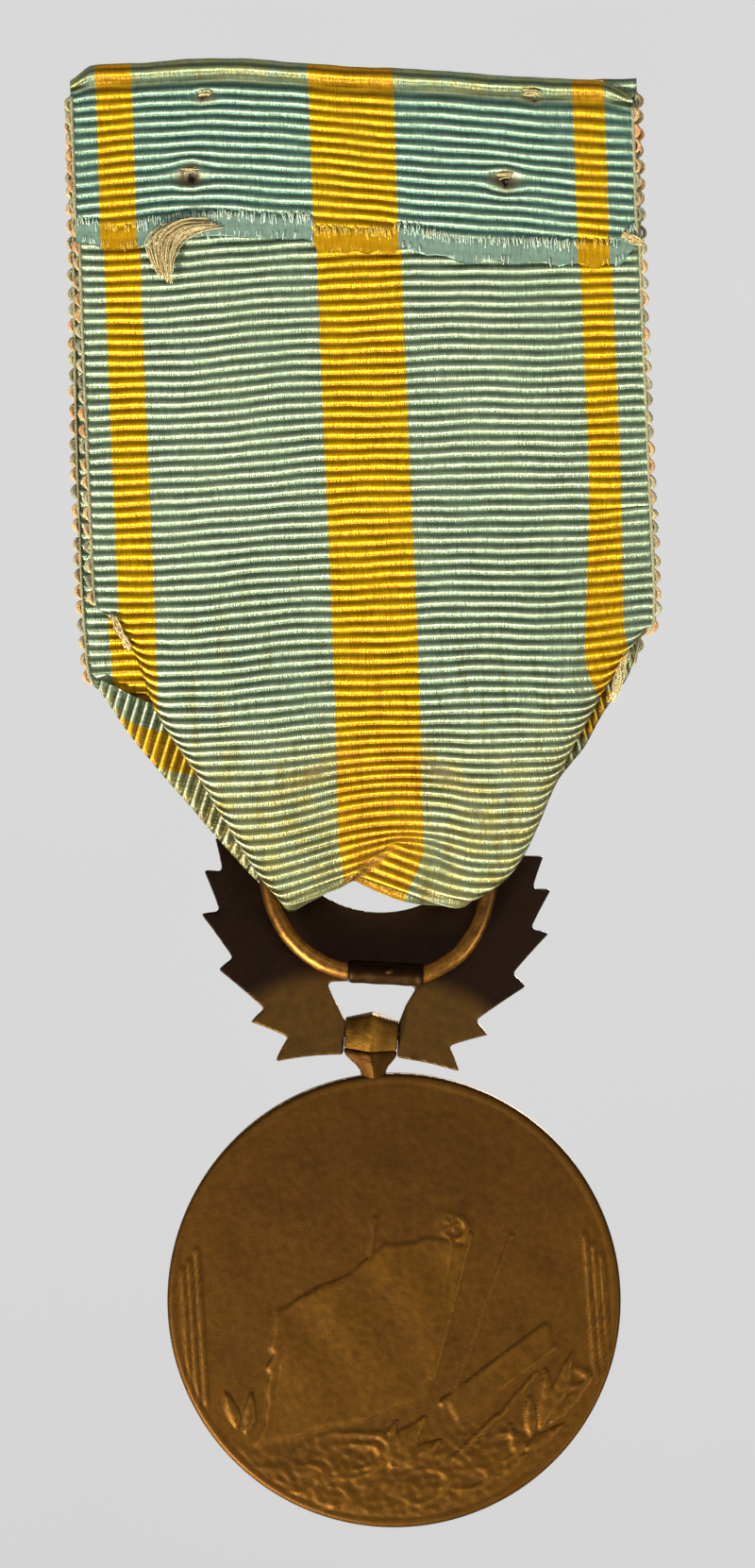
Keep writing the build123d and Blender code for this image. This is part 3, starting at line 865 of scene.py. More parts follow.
def edge_place(side, face, down):
    """A point on the strip's woven edge: face is 1 at the back and -1 in front."""
    sides = {
        (1, 1): BACK_SIDE_PLUS, (-1, 1): BACK_SIDE_MINUS,
        (1, -1): FRONT_SIDE_PLUS, (-1, -1): FRONT_SIDE_MINUS,
    }
    reach = float(min(soft_line(sides[(side, face)], down), SELVEDGE_PLUS if side > 0 else SELVEDGE_MINUS))
    shift = float(soft_line(FRONT_SHIFT, down, 3.0)) if face < 0 else 0.12 * math.sin(down / 9.0)
    x = side * reach + shift
    drop = down + float(main_drift(np.array(side * reach), np.array(down)))
    return x, face * float(panel_level(drop)), -drop


def picot_row(name, side, face, first, last, material, node, place=None):
    """Small loops of coloured thread bowed out along one woven edge."""
    place = place or edge_place
    bundle = Bundle()
    chance = random.Random(name)
    pitch = 1.55 * RIB_PITCH
    count = int((last - first) / pitch)
    for index in range(count):
        top = first + index * pitch + chance.uniform(-0.12, 0.12)
        low = top + pitch * 0.92
        x1, y1, z1 = place(side, face, top)
        x2, y2, z2 = place(side, face, low)
        tone = chance.random()
        for strand in range(4):
            bow = 0.24 + 0.18 * chance.random()
            roll = chance.uniform(-0.16, 0.16)
            line = []
            for t in np.linspace(0, 1, 7):
                out = bow * math.sin(math.pi * t) ** 0.7 - 0.06
                spread = roll * math.sin(math.pi * t)
                x = x1 + (x2 - x1) * t + side * out
                y = y1 + (y2 - y1) * t + spread
                line.append((x, y, z1 + (z2 - z1) * t))
            tint = min(max(tone + chance.uniform(-0.15, 0.15), 0), 1)
            bundle.add(line, [0.12 * k for k in (0.6, 0.85, 1.0, 1.05, 1.0, 0.85, 0.6)], 7, tint)
    string = []
    for down in np.arange(first, last, 0.35):
        x, y, z = place(side, face, down)
        string.append((x - side * 0.03, y, z))
    bundle.add(string, 0.13, 6, 0.85)
    row = bundle.piece(name, material)
    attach(row, "ribbon")
    if node:
        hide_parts(node)
    return row


def hem_edge_place(side, face, down):
    """A point on the hem's woven edge."""
    x = side * (SELVEDGE_PLUS if side > 0 else SELVEDGE_MINUS)
    slope = float(top_slope(np.array(x))) * HEM_SLOPE
    return x + HEM_SHIFT, HEM_LEVEL + HEM_FALL * down, -(down + slope)


def hem_fringe(material):
    """Short broken threads along the hem's cut edge."""
    bundle = Bundle()
    chance = random.Random("fringe")
    low, high = SIDE_STRIPE
    for x in np.arange(-18.4, 18.4, 0.075):
        if chance.random() < 0.25:
            continue
        x = x + chance.uniform(-0.04, 0.04)
        cut = float(along_points(HEM_CUT, x)) + float(top_slope(np.array(x))) * HEM_SLOPE
        begin = cut - HEM_FRINGE - chance.uniform(0.0, 0.25)
        end = begin + chance.uniform(0.35, 0.75)
        if chance.random() < 0.18:
            begin, end = cut - 0.5, cut + chance.uniform(-0.2, 0.15)
        sway = chance.uniform(-0.12, 0.12)
        y = HEM_LEVEL + HEM_FALL * cut + chance.uniform(0.03, 0.10)
        root = x + HEM_SHIFT
        middle = (root + sway * 0.4, y + 0.05, -(begin + end) / 2)
        line = [(root, y, -begin), middle, (root + sway, y - 0.02, -end)]
        is_yellow = abs(x) < CENTRE_STRIPE or low < abs(x) < high
        tint = chance.uniform(0.6, 1.0) if is_yellow else chance.uniform(0.0, 0.4)
        bundle.add(curve_through(line, 6), 0.034, 4, tint)
    fringe = bundle.piece("hem_fringe", material)
    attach(fringe, "ribbon")
    return fringe


def add_sewing_wisp(bundle, chance):
    """The wisp of old sewing thread that comes out under the hem."""
    samples = 14
    bends = [
        (9.7, 0.85, -10.5), (11.2, 0.95, -10.6), (12.4, 1.0, -11.1),
        (13.1, 1.05, -12.0), (13.1, 1.0, -13.2), (12.7, 0.95, -14.6),
    ]
    path = curve_through(bends, samples)
    swell = np.interp(np.arange(samples), [0, 4, 8, 11, 13], [0.6, 0.8, 0.95, 0.6, 0.25])
    for strand in range(90):
        spread = swell * chance.uniform(0.8, 1.3)
        turn = chance.uniform(0, 2 * math.pi)
        radial = np.sqrt(chance.random())
        offset = np.array([math.cos(turn), 0.28 * math.sin(turn), 0.55 * math.sin(turn + 0.7)]) * radial
        cut = int(samples * chance.uniform(0.75, 1.0))
        begin = chance.randrange(0, 6)
        line = path + offset * spread[:, None]
        wave = np.sin(np.linspace(0, 5, samples) + chance.uniform(0, 6))[:, None] * 0.08
        line = (line + wave)[begin:cut]
        line[:, 1] = np.maximum(line[:, 1], 0.5)
        bundle.add(line, np.linspace(0.045, 0.03, len(line)), 5, chance.random())


def add_side_frays(bundle, chance):
    """Broken threads where the cloth has worn through at its folds and edge."""
    frays = [
        ((17.1, 0.75, -36.2), (16.2, 0.95, -38.2)),
        ((-16.7, 0.75, -39.6), (-15.6, 1.05, -42.6)),
        ((-17.4, 0.78, -12.0), (-18.5, 0.75, -12.6)),
    ]
    for start, end in frays:
        for strand in range(14):
            line = []
            for t in (0.0, 0.35, 0.7, 1.0):
                spread = [chance.uniform(-0.3, 0.3), chance.uniform(0.0, 0.12), chance.uniform(-0.3, 0.3)]
                line.append([a + (b - a) * t + c for a, b, c in zip(start, end, spread)])
            bundle.add(curve_through(line, 9), 0.045, 5, 0.4 + 0.6 * chance.random())


def add_hole_strands(bundle, chance):
    """Strands left across the pin holes."""
    for hole_x, hole_down in LARGE_HOLES + SMALL_HOLES:
        for strand in range(5):
            reach = chance.uniform(0.25, 0.6)
            at = hole_down + chance.uniform(-0.55, -0.1)
            line = []
            for t in np.linspace(-1, 1, 5):
                drop = at + 0.12 * t * chance.uniform(-1, 1)
                line.append((hole_x + reach * t, 0.66 + 0.05 * (1 - t * t), -drop))
            bundle.add(line, 0.035, 5, chance.random())


def loose_threads(material):
    """Old sewing thread: the wisp under the hem, frays at the sides and strands across the pin holes."""
    bundle = Bundle()
    chance = random.Random("tuft")
    add_sewing_wisp(bundle, chance)
    add_side_frays(bundle, chance)
    add_hole_strands(bundle, chance)
    tuft = bundle.piece("sewing_thread", material)
    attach(tuft, "ribbon")
    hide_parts("thread_tuft")
    return tuft


# ---------------------------------------------------------------- pendant

def hung_matrix():
    """From a shape drawn about the ring's centre to where the ring hangs."""
    return Matrix.Translation(Vector(RING_CENTRE) * MM) @ Matrix.Rotation(math.radians(-WREATH_SKEW), 4, "Y")


def ring_line():
    """The ring's middle line: an arc over the top, sides that flatten towards the clasp."""
    right = [(7.45, 0.0), (7.20, -1.75), (6.47, -3.70), (5.40, -5.20), (3.85, -6.38), (1.9, -7.05)]
    left = [(-3.2, -7.07), (-5.50, -5.70), (-6.55, -4.25), (-7.02, -3.12), (-7.35, -1.6), (-7.45, 0.0)]
    sides = curve_through(right + [(-0.6, -7.08)] + left, 90)
    turns = np.linspace(math.pi, 0, 72)[1:-1]
    over = np.stack([RING_RADIUS * np.cos(turns), RING_RADIUS * np.sin(turns)], axis=1)
    flat = np.vstack([sides, over])
    return np.stack([flat[:, 0], np.zeros(len(flat)), flat[:, 1]], axis=1)


def closed_tube(line, radii, sides):
    """Points and faces of a tube round a flat closed line."""
    line = np.asarray(line, float)
    along = np.roll(line, -1, axis=0) - np.roll(line, 1, axis=0)
    along /= np.linalg.norm(along, axis=1)[:, None]
    turns = np.linspace(0, 2 * math.pi, sides, endpoint=False)
    outward = np.cross(along, (0, 1, 0))
    spokes = np.cos(turns)[None, :, None] * outward[:, None, :]
    spokes = spokes + np.sin(turns)[None, :, None] * np.array((0, 1, 0))
    rings = line[:, None, :] + radii[:, None, None] * spokes
    index = np.arange(len(line) * sides).reshape(len(line), sides)
    index = np.vstack([index, index[:1]])
    index = np.hstack([index, index[:, :1]])
    quads = np.stack([index[:-1, :-1], index[1:, :-1], index[1:, 1:], index[:-1, 1:]], axis=-1)
    return rings.reshape(-1, 3), [tuple(q) for q in quads.reshape(-1, 4).tolist()]


def ring_piece(material):
    """The wire ring, its thickness a little uneven."""
    line = ring_line()
    number = np.arange(len(line))
    radii = WIRE_RADIUS * (1 + 0.018 * np.sin(number * 0.23) + 0.012 * np.sin(number * 0.61 + 1))
    points, faces = closed_tube(line, radii, 28)
    piece = mesh_object("suspension_wire_ring", points, faces, hung_matrix())
    piece.data.materials.append(material)
    low = np.repeat(line[:, 2], 28)
    set_numbers(piece, "wear_and_highlight", smooth_step(-low, 2.0, 6.5) * 0.8)
    set_numbers(piece, "patina_and_shade", np.zeros(len(points)))
    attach(piece, "ring")
    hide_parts("suspension_ring")
    return piece


def plate_back(z):
    """Where the plate's back face lies, leaning forward at the top."""
    lean = math.radians(LEAN)
    return -(z + CLASP_DROP) * math.tan(lean) + PLATE_BACK / math.cos(lean)


def mirrored(points):
    """The points on the other side of the middle."""
    return [(-x, z) for x, z in points]


def arc_points(start, middle, end, count):
    """Points from start to end on the circle through middle."""
    (ax, ay), (bx, by), (cx, cy) = start, middle, end
    d = 2 * (ax * (by - cy) + bx * (cy - ay) + cx * (ay - by))
    a, b, c = ax ** 2 + ay ** 2, bx ** 2 + by ** 2, cx ** 2 + cy ** 2
    ux = (a * (by - cy) + b * (cy - ay) + c * (ay - by)) / d
    uy = (a * (cx - bx) + b * (ax - cx) + c * (bx - ax)) / d
    radius = math.hypot(ax - ux, ay - uy)
    first, mid, last = (math.atan2(y - uy, x - ux) for x, y in (start, middle, end))
    if not min(first, last) <= mid <= max(first, last):
        first, last = (turn + 2 * math.pi if turn < 0 else turn for turn in (first, last))
    turns = np.linspace(first, last, count)
    return [(ux + radius * math.cos(t), uy + radius * math.sin(t)) for t in turns]


def leaf_edge(start, end, bow):
    """A leaf's edge between a notch and a tip, bowed a little."""
    a, b = Vector(start), Vector(end)
    across = Vector((-(b - a).y, (b - a).x)).normalized()
    shares = np.linspace(0, 1, 6)[:-1]
    return [tuple(a.lerp(b, t) + across * bow * math.sin(math.pi * t)) for t in shares]


def wreath_outline():
    """The saw-edged outline of the two branches, going round once."""
    right = []
    previous = LEAF_TIPS[0]
    for notch, tip in zip(LEAF_NOTCHES, LEAF_TIPS[1:]):
        right += leaf_edge(previous, notch, -0.03)
        right += leaf_edge(notch, tip, 0.05)
        previous = tip
    right += leaf_edge(previous, (1.64, -12.6), -0.12)
    window = [(1.64, -12.6), (1.60, -10.4), (2.3, -9.2), (3.0, -7.9)]
    horn = (-HORN_REACH, HORN_RISE)
    hollow = arc_points((HORN_REACH, HORN_RISE), (0, HOLLOW_CENTRE - HOLLOW_RADIUS), horn, 40)
    bar = [(0.8, -7.75), (-0.8, -7.75)]
    left = mirrored(right)[::-1]
    inner = window + bar + [(x + 2 * STRAP_OFFSET if x > -2.2 else x, z) for x, z in mirrored(window)[::-1]]
    top_left = leaf_edge(mirrored(LEAF_TIPS)[0], horn, -0.05)
    return right + inner + left + top_left + hollow[::-1][1:]


def leaf_height(x, z, base, tip, width):
    """Relief of one laurel leaf: domed, with a midrib and side veins."""
    ax, az = base
    bx, bz = tip
    length = math.hypot(bx - ax, bz - az)
    ux, uz = (bx - ax) / length, (bz - az) / length
    along = ((x - ax) * ux + (z - az) * uz) / length
    across = (-(x - ax) * uz + (z - az) * ux)
    half = width / 2 * np.clip(np.sin(math.pi * np.clip(along, 0, 1) ** 0.75), 0.001, 1)
    side = np.abs(across) / half
    inside = smooth_step(1.12 - side, 0, 0.28) * (along > -0.02) * (along < 1.02)
    dome = 0.62 + 0.38 * np.sqrt(np.clip(1 - side ** 2, 0, 1))
    midrib = 0.30 * bell(across, 0.13)
    veins = 0.10 * np.cos(2 * math.pi * (along * length / 0.75 - np.abs(across) * 0.9))
    return inside * (dome + midrib + veins * (side < 0.9))


def wreath_relief(x, z):
    """Relief of the worn front: the crescent and the leaves."""
    from_hollow = np.hypot(x, z - HOLLOW_CENTRE) - HOLLOW_RADIUS
    from_edge = MOON_RADIUS - np.hypot(x, z - MOON_CENTRE)
    band = np.maximum(from_hollow + from_edge, 0.01)
    place = np.clip((from_hollow - from_edge) / band, -1, 1)
    dome = 0.6 + 0.4 * np.sqrt(1 - place ** 2)
    height = smooth_step(np.minimum(from_hollow, from_edge), -0.05, 0.3) * dome
    for base, tip in zip(LEAF_BASES, LEAF_TIPS):
        for side in (1, -1):
            leaf = leaf_height(x, z, (side * base[0], base[1]), (side * tip[0], tip[1]), 2.3)
            height = np.maximum(height, leaf)
    return height


def fine_plate():
    """The flat plate cut out along its outline, in faces small enough to take the relief."""
    work = bmesh.new()
    ring = [work.verts.new((x * MM, 0, z * MM)) for x, z in wreath_outline()]
    out = bmesh.ops.extrude_face_region(work, geom=[work.faces.new(ring)])
    moved = [v for v in out["geom"] if isinstance(v, bmesh.types.BMVert)]
    bmesh.ops.translate(work, verts=moved, vec=(0, -PLATE_THICKNESS * MM, 0))
    bmesh.ops.recalc_face_normals(work, faces=work.faces)
    mesh = bpy.data.meshes.new("wreath_source")
    work.to_mesh(mesh)
    work.free()
    piece = bpy.data.objects.new("laurel_wreath", mesh)
    bpy.context.scene.collection.objects.link(piece)
    remesh = piece.modifiers.new("fine", "REMESH")
    remesh.mode = "VOXEL"
    remesh.voxel_size = 0.135 * MM
    smooth = piece.modifiers.new("soft", "SMOOTH")
    smooth.factor = 0.5
    smooth.iterations = 2
    depsgraph = bpy.context.evaluated_depsgraph_get()
    fine = bpy.data.meshes.new_from_object(piece.evaluated_get(depsgraph))
    piece.modifiers.clear()
    piece.data = fine
    return piece


def wreath_plate(material):
    """The struck plate, made in its own flat space and then leaned into place."""
    piece = fine_plate()
    fine = piece.data
    flat = np.zeros(len(fine.vertices) * 3)
    fine.vertices.foreach_get("co", flat)
    flat = flat.reshape(-1, 3) / MM
    x, t, z = flat[:, 0], -flat[:, 1], flat[:, 2]
    relief = wreath_relief(x, z)
    front = smooth_step(t, 0.45, 0.75)
    wear = np.array([noise.noise(Vector((a * 0.5, b * 0.5, 3.0))) for a, b in zip(x, z)])
    t = t + front * (relief * (LEAF_RELIEF + 0.06 * wear) - 0.06)
    dish = 0.0012 * x ** 2 * smooth_step(np.abs(x), 5.0, 11.0)
    points = np.stack([x, plate_back(z) - t - dish, z], axis=1) * MM
    fine.vertices.foreach_set("co", points.astype(np.float32).ravel())
    fine.polygons.foreach_set("use_smooth", [True] * len(fine.polygons))
    fine.transform(hung_matrix())
    fine.update()
    piece.data.materials.append(material)
    back = 1 - smooth_step(t, 0.1, 0.5)
    # The back is darker above this arc and lighter below it: partly patina, partly painted shade above and
    # painted light below, as from a light low down.
    arc = smooth_step(z + 0.035 * x ** 2, -7.9, -6.0)
    top_rim = back * smooth_step(7.5 - np.hypot(x, z - HOLLOW_CENTRE), -0.3, 0.1)
    wear_and_highlight = front * smooth_step(relief, 0.8, 1.25) + 0.3 * back * (1 - arc) + 0.5 * top_rim
    set_numbers(piece, "wear_and_highlight", wear_and_highlight)
    set_numbers(piece, "patina_and_shade", back * arc + front * (1 - smooth_step(relief, 0.1, 0.6)) * 0.8)
    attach(piece, "wreath")
    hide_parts("wreath_plate")
    return piece


def curled_clasp(material):
    """The plate's tab curled round the ring, with a speck of solder."""
    bundle = Bundle()
    ends = [(x, y, -CLASP_DROP) for x, y in ((-3.38, 0.02), (-2.4, 0.0), (0.0, 0.01), (1.62, 0.0))]
    radii = 0.76 + 0.015 * np.sin(np.arange(26) * 0.9)
    radii[0] = radii[-1] = 0.60
    radii[1] = radii[-2] = 0.76
    bundle.add(curve_through(ends, 26), radii, 32, 0.1)
    blob = curve_through([(-1.5, 0.62, -6.78), (-1.15, 0.70, -6.92), (-0.8, 0.66, -7.05)], 7)
    bundle.add(blob, [0.05, 0.14, 0.19, 0.21, 0.18, 0.12, 0.04], 10, 0.8)
    piece = bundle.piece("curled_clasp", material, hung_matrix())
    # Painted highlight along the curl's lower edge, and painted shade darkening its upper half.
    height = np.array(bundle.points)[:, 2] + CLASP_DROP
    set_numbers(piece, "wear_and_highlight", np.maximum(bundle.tints, 0.3 * smooth_step(-height, 0.2, 0.7)))
    set_numbers(piece, "patina_and_shade", 0.35 + 0.5 * smooth_step(height, -0.5, 0.3))
    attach(piece, "wreath")
    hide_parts("ring_clasp")
    return piece


def bar_depth():
    """The y of the crossbar's middle."""
    lean = math.radians(LEAN)
    distance = PLATE_BACK - PLATE_THICKNESS / 2
    return distance / math.cos(lean) + (BAR_DROP - CLASP_DROP) * math.tan(lean)


def crossbar(material):
    """The bar at the plate's foot that the disc hangs from."""
    line = [(x, bar_depth(), -BAR_DROP) for x in np.linspace(-2.2, 2.0, 12)]
    bundle = Bundle()
    bundle.add(line, 0.36, 20, 0.3)
    piece = bundle.piece("hinge_bar", material, hung_matrix())
    set_numbers(piece, "wear_and_highlight", np.full(len(bundle.points), 0.2))
    set_numbers(piece, "patina_and_shade", np.full(len(bundle.points), 0.5))
    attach(piece, "wreath")
    return piece


def disc_matrix():
    """From a shape drawn about the disc's centre to where the disc hangs."""
    place = Vector((DISC_CENTRE[0], bar_depth(), DISC_CENTRE[1])) * MM
    return Matrix.Translation(place) @ Matrix.Rotation(math.radians(DISC_SKEW), 4, "Y")


def ridge_section(half_width, ridge_depth):
    """Points round a section with a ridge down the middle of each face and blunt sides."""
    quarter = [
        (0.0, 1.0), (0.07, 0.98), (0.45, 0.86), (0.86, 0.72),
        (0.95, 0.66), (0.995, 0.5), (1.0, 0.3), (1.0, 0.0),
    ]
    quarter = [(x * half_width, ridge_depth * y) for x, y in quarter]
    upper = quarter[::-1] + [(-x, y) for x, y in quarter[1:]]
    return upper + [(x, -y) for x, y in upper[::-1][1:-1]]


# the eye and lug from the top down, as (height from the bar, share of width, share of depth, ridge's peak)
LUG_LEVELS = [
    (1.42, 0.97, 0.10, 0.45), (1.38, 0.99, 0.42, 0.45), (1.24, 1.0, 0.70, 0.42), (0.95, 1.0, 0.90, 0.3),
    (0.5, 1.0, 1.02, 0.1), (0.0, 1.0, 1.08, 0.0), (-0.5, 1.0, 1.08, 0.0), (-0.95, 1.0, 1.05, 0.0),
    (-1.12, 0.99, 1.02, -0.16), (-1.17, 0.95, 0.90, -0.2), (-1.24, 0.95, 0.89, -0.2),
    (-1.29, 1.0, 1.0, -0.18), (-1.55, 1.0, 1.02, -0.1), (-1.85, 0.95, 1.0, 0.0), (-2.3, 0.80, 0.98, 0.0),
    (-2.75, 0.62, 0.94, 0.0), (-3.2, 0.50, 0.88, 0.0), (-3.75, 0.46, 0.80, 0.0),
]
LUG_SEAM = -1.2


def strap_and_lug(material):
    """The eye round the crossbar, with its ridge, the seam below it and the funnel down to the disc."""
    hung = hung_matrix()
    bar = hung @ (Vector((STRAP_OFFSET, bar_depth(), -BAR_DROP)) * MM)
    neck = disc_matrix() @ (Vector((0, 0, DISC_RADIUS - 0.25)) * MM)
    bottom = LUG_LEVELS[-1][0]
    points, tones = [], []
    axis = hung.to_3x3()
    for height, wide, deep, peak in LUG_LEVELS:
        fall = float(smooth_step(-height, 0.3, -bottom))
        straight = bar + axis @ (Vector((0, 0, height)) * MM)
        target = neck + (disc_matrix().to_3x3() @ (Vector((0, 0, height - bottom)) * MM))
        centre = straight.lerp(target, fall)
        half = (STRAP_WIDTH + 0.1) / 2 * wide
        for x, y in ridge_section(half, STRAP_RADIUS * deep):
            lift = peak * (1 - abs(x) / half) - max(peak, 0)
            points.append((centre + axis @ (Vector((x, y, lift)) * MM)) / MM)
            tones.append(0.9 if abs(x) < 0.16 else 0.25 * (height > LUG_SEAM))
    count = len(ridge_section(1, 1))
    faces = grid_faces(len(LUG_LEVELS), count, closed=True)
    faces.append(tuple(range(count)))
    faces.append(tuple(range(len(points) - count, len(points))))
    piece = mesh_object("hinge_strap_and_lug", points, faces)
    face_outward(piece)
    piece.data.set_sharp_from_angle(angle=math.radians(24))
    set_numbers(piece, "wear_and_highlight", tones)
    # Below the seam the funnel is darkened: painted shade over a facet the key light catches.
    patina_and_shade = [0.85 if level[0] < LUG_SEAM else 0.0 for level in LUG_LEVELS]
    set_numbers(piece, "patina_and_shade", np.repeat(patina_and_shade, count))
    piece.data.materials.append(material)
    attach(piece, "disc")
    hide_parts("hinge_strap", "disc_lug")
    return piece


def segment_distance(x, z, start, end):
    """Distance from a straight line between two points."""
    (ax, az), (bx, bz) = start, end
    dx, dz = bx - ax, bz - az
    share = np.clip(((x - ax) * dx + (z - az) * dz) / (dx * dx + dz * dz), 0, 1)
    return np.hypot(x - ax - share * dx, z - az - share * dz)


def with_lines(height, x, z, lines, rise):
    """The relief with a worn ridge added for each (start, end, width)."""
    for start, end, width in lines:
        distance = segment_distance(x, z, start, end)
        height = np.maximum(height, rise * np.exp(-(distance / width) ** 4))
    return height


def inside_shape(x, z, corners, soft):
    """1 inside a closed outline, 0 outside, with a soft shoulder."""
    inside = np.zeros(x.shape, bool)
    nearest = np.full(x.shape, 1e9)
    for (ax, az), (bx, bz) in zip(corners, corners[1:] + corners[:1]):
        crosses = (az > z) != (bz > z)
        at = ax + (z - az) / (bz - az if bz != az else 1e-9) * (bx - ax)
        inside ^= crosses & (x < at)
        nearest = np.minimum(nearest, segment_distance(x, z, (ax, az), (bx, bz)))
    return smooth_step(np.where(inside, nearest, -nearest), -soft, soft)


# the worn back's design, x to its viewer's right, with ridges as (start, end, width)
FLAG = [
    (-0.2, 3.7), (2.4, 3.9), (5.0, 3.3), (4.3, 0.6), (3.2, -2.4), (1.7, -6.2), (-1.5, -7.4), (-5.6, -8.0),
    (-9.9, -8.7), (-8.9, -6.4), (-7.8, -3.8), (-8.5, -2.3), (-7.7, 0.1), (-4.6, 1.3), (-2.0, 2.6),
]
FLAG_EDGES = [
    ((-1.6, 2.6), (-3.4, 1.3), 0.21), ((-8.0, -3.0), (-9.3, -8.2), 0.25),
    ((4.1, 3.6), (3.4, -0.6), 0.21), ((-7.9, -2.4), (-8.4, -3.7), 0.27),
]
STAFFS = [
    ((5.3, 3.9), (2.0, -5.2), 0.26), ((9.8, -2.6), (2.6, -7.0), 0.24), ((10.3, -4.0), (6.5, -6.3), 0.16),
    ((6.1, -8.2), (3.0, -10.7), 0.18), ((8.9, -5.6), (6.2, -8.3), 0.14),
]
BEAM = [(9.9, -2.5), (10.5, -4.1), (3.6, -8.4), (2.6, -6.9)]
COLUMNS = [((x, 4.5 + (x + 12.7) * 1.2), (x - 0.25, -5.6), 0.17) for x in (-12.7, -13.25, -13.75)]
COLUMNS += [((x, 3.2 - (x - 12.95) * 1.5), (x - 0.15, -6.6), 0.17) for x in (12.95, 13.45, 13.9)]
FINIAL = (4.3, 4.7)
# leaves as (base, tip, width), and scrolls as (centre, size, width)
SPRAYS = [
    ((-1.3, -10.9), (1.4, -7.6), 1.5), ((-1.2, -11.0), (2.4, -9.4), 1.2), ((-1.6, -10.8), (-0.6, -8.0), 1.1),
    ((9.2, -8.6), (11.6, -4.5), 1.0), ((9.0, -9.2), (9.6, -5.2), 0.9), ((8.4, -9.6), (8.2, -7.0), 0.8),
    ((9.6, -8.9), (12.2, -6.6), 0.9), ((7.8, -10.6), (10.6, -9.0), 0.8), ((7.3, -11.2), (7.0, -8.9), 0.7),
    ((-11.2, -7.2), (-11.6, -4.8), 0.8), ((-10.6, -7.8), (-9.9, -5.2), 0.8),
    ((5.6, -12.2), (7.9, -10.8), 0.8),
]
SCROLLS = [
    ((-4.4, -9.8), (3.3, 1.5), 0.12), ((-3.6, -9.9), (1.9, 0.85), 0.2), ((-7.6, -11.0), (1.9, 0.9), 0.2),
    ((0.6, -12.2), (1.7, 1.1), 0.24), ((3.6, -12.0), (1.5, 0.8), 0.26), ((6.3, -10.2), (1.2, 0.9), 0.24),
    ((4.4, 4.6), (0.8, 0.8), 0.3), ((11.4, -6.2), (0.8, 0.6), 0.35), ((-5.6, -12.6), (1.4, 0.7), 0.26),
]


def trophy_relief(x, z):
    """The worn back: a flag over staffs, a beam, columns, leaves, scrolls and broken ground."""
    waved_x = x + 0.12 * np.sin(1.3 * z + 1) + 0.03 * np.sin(4.1 * z + x)
    waved_z = z + 0.10 * np.sin(1.5 * x) + 0.03 * np.sin(4.3 * x)
    height = 0.11 * inside_shape(waved_x, waved_z, FLAG, 0.22)
    height = with_lines(height, waved_x, waved_z, FLAG_EDGES, 0.13)
    drape = 0.035 * np.sin(1.25 * (x * 0.93 + z * 0.36) + 0.8 * np.sin(0.4 * z))
    height = height + drape * inside_shape(x, z, FLAG, 0.9)
    height = with_lines(height, x, z, [((8.1, 3.6), (3.4, -6.3), 0.18)], 0.08)
    height = with_lines(height, waved_x, waved_z, [((-0.6, 5.4), (-1.6, 2.5), 0.18)], 0.07)
    height = with_lines(height, x, z, STAFFS, 0.12)
    height = np.maximum(height, 0.09 * inside_shape(waved_x, waved_z, BEAM, 0.24))
    height = with_lines(height, x, z, COLUMNS, 0.10)
    right, up = x - FINIAL[0], z - FINIAL[1]
    petals = 0.7 + 0.3 * np.cos(5 * np.arctan2(up, right))
    height = np.maximum(height, 0.13 * bell(np.hypot(right, up * 1.1), 0.8) * petals)
    for base, tip, width in SPRAYS:
        height = np.maximum(height, 0.12 * leaf_height(waved_x, waved_z, base, tip, width))
    for centre, size, width in SCROLLS:
        across = (waved_x - centre[0]) / size[0]
        upward = (waved_z - centre[1] - 0.12 * (x - centre[0])) / size[1]
        turn = np.arctan2(upward, across)
        curl = np.hypot(across, upward) - 1 + 0.10 * np.sin(turn * 1.5)
        height = np.maximum(height, 0.17 * bell(curl, width) * (0.6 + 0.4 * np.sin(turn + 2.0)))
    ground = 0.08 * smooth_step(-z, 9.6, 10.6) * smooth_step(14.4 - np.hypot(x, z), 0, 0.5)
    broken = 0.8 + 0.35 * np.sin(1.9 * x + 0.8 * z) * np.sin(1.1 * x - 2.2 * z + 1)
    return np.maximum(height, ground * broken)


def front_relief(x, z):
    """The worn front, of the builder's own design: a star in a ring of laurel."""
    turn = np.arctan2(x, z)
    radius = np.hypot(x, z)
    share = np.abs((turn / (2 * math.pi / 5) + 0.5) % 1 - 0.5) * 2 * math.pi / 5
    limit = STAR_RADIUS * math.sin(math.radians(18)) / np.sin(math.radians(18) + share)
    star = smooth_step(limit - radius, -0.08, 0.25) * (0.55 + 0.45 * np.clip((limit - radius) / 1.5, 0, 1))
    height = 0.24 * star
    count = 16
    for index in range(count):
        start = 2 * math.pi * index / count
        end = start + 2 * math.pi * 0.9 / count
        for reach, spread in ((10.8, 0.9), (10.2, -0.2), (11.5, 1.1)):
            base = (LAUREL_RADIUS * math.sin(start), LAUREL_RADIUS * math.cos(start))
            tip = ((reach + 0.25 * spread) * math.sin(end), (reach + 0.25 * spread) * math.cos(end))
            height = np.maximum(height, 0.2 * leaf_height(x, z, base, tip, 0.95))
    height = np.maximum(height, 0.12 * bell(radius - LAUREL_RADIUS, 0.16))
    bead = 0.09 * bell(radius - BEAD_RADIUS, 0.35) * (0.5 + 0.5 * np.cos(turn * 96))
    return np.maximum(height, bead)


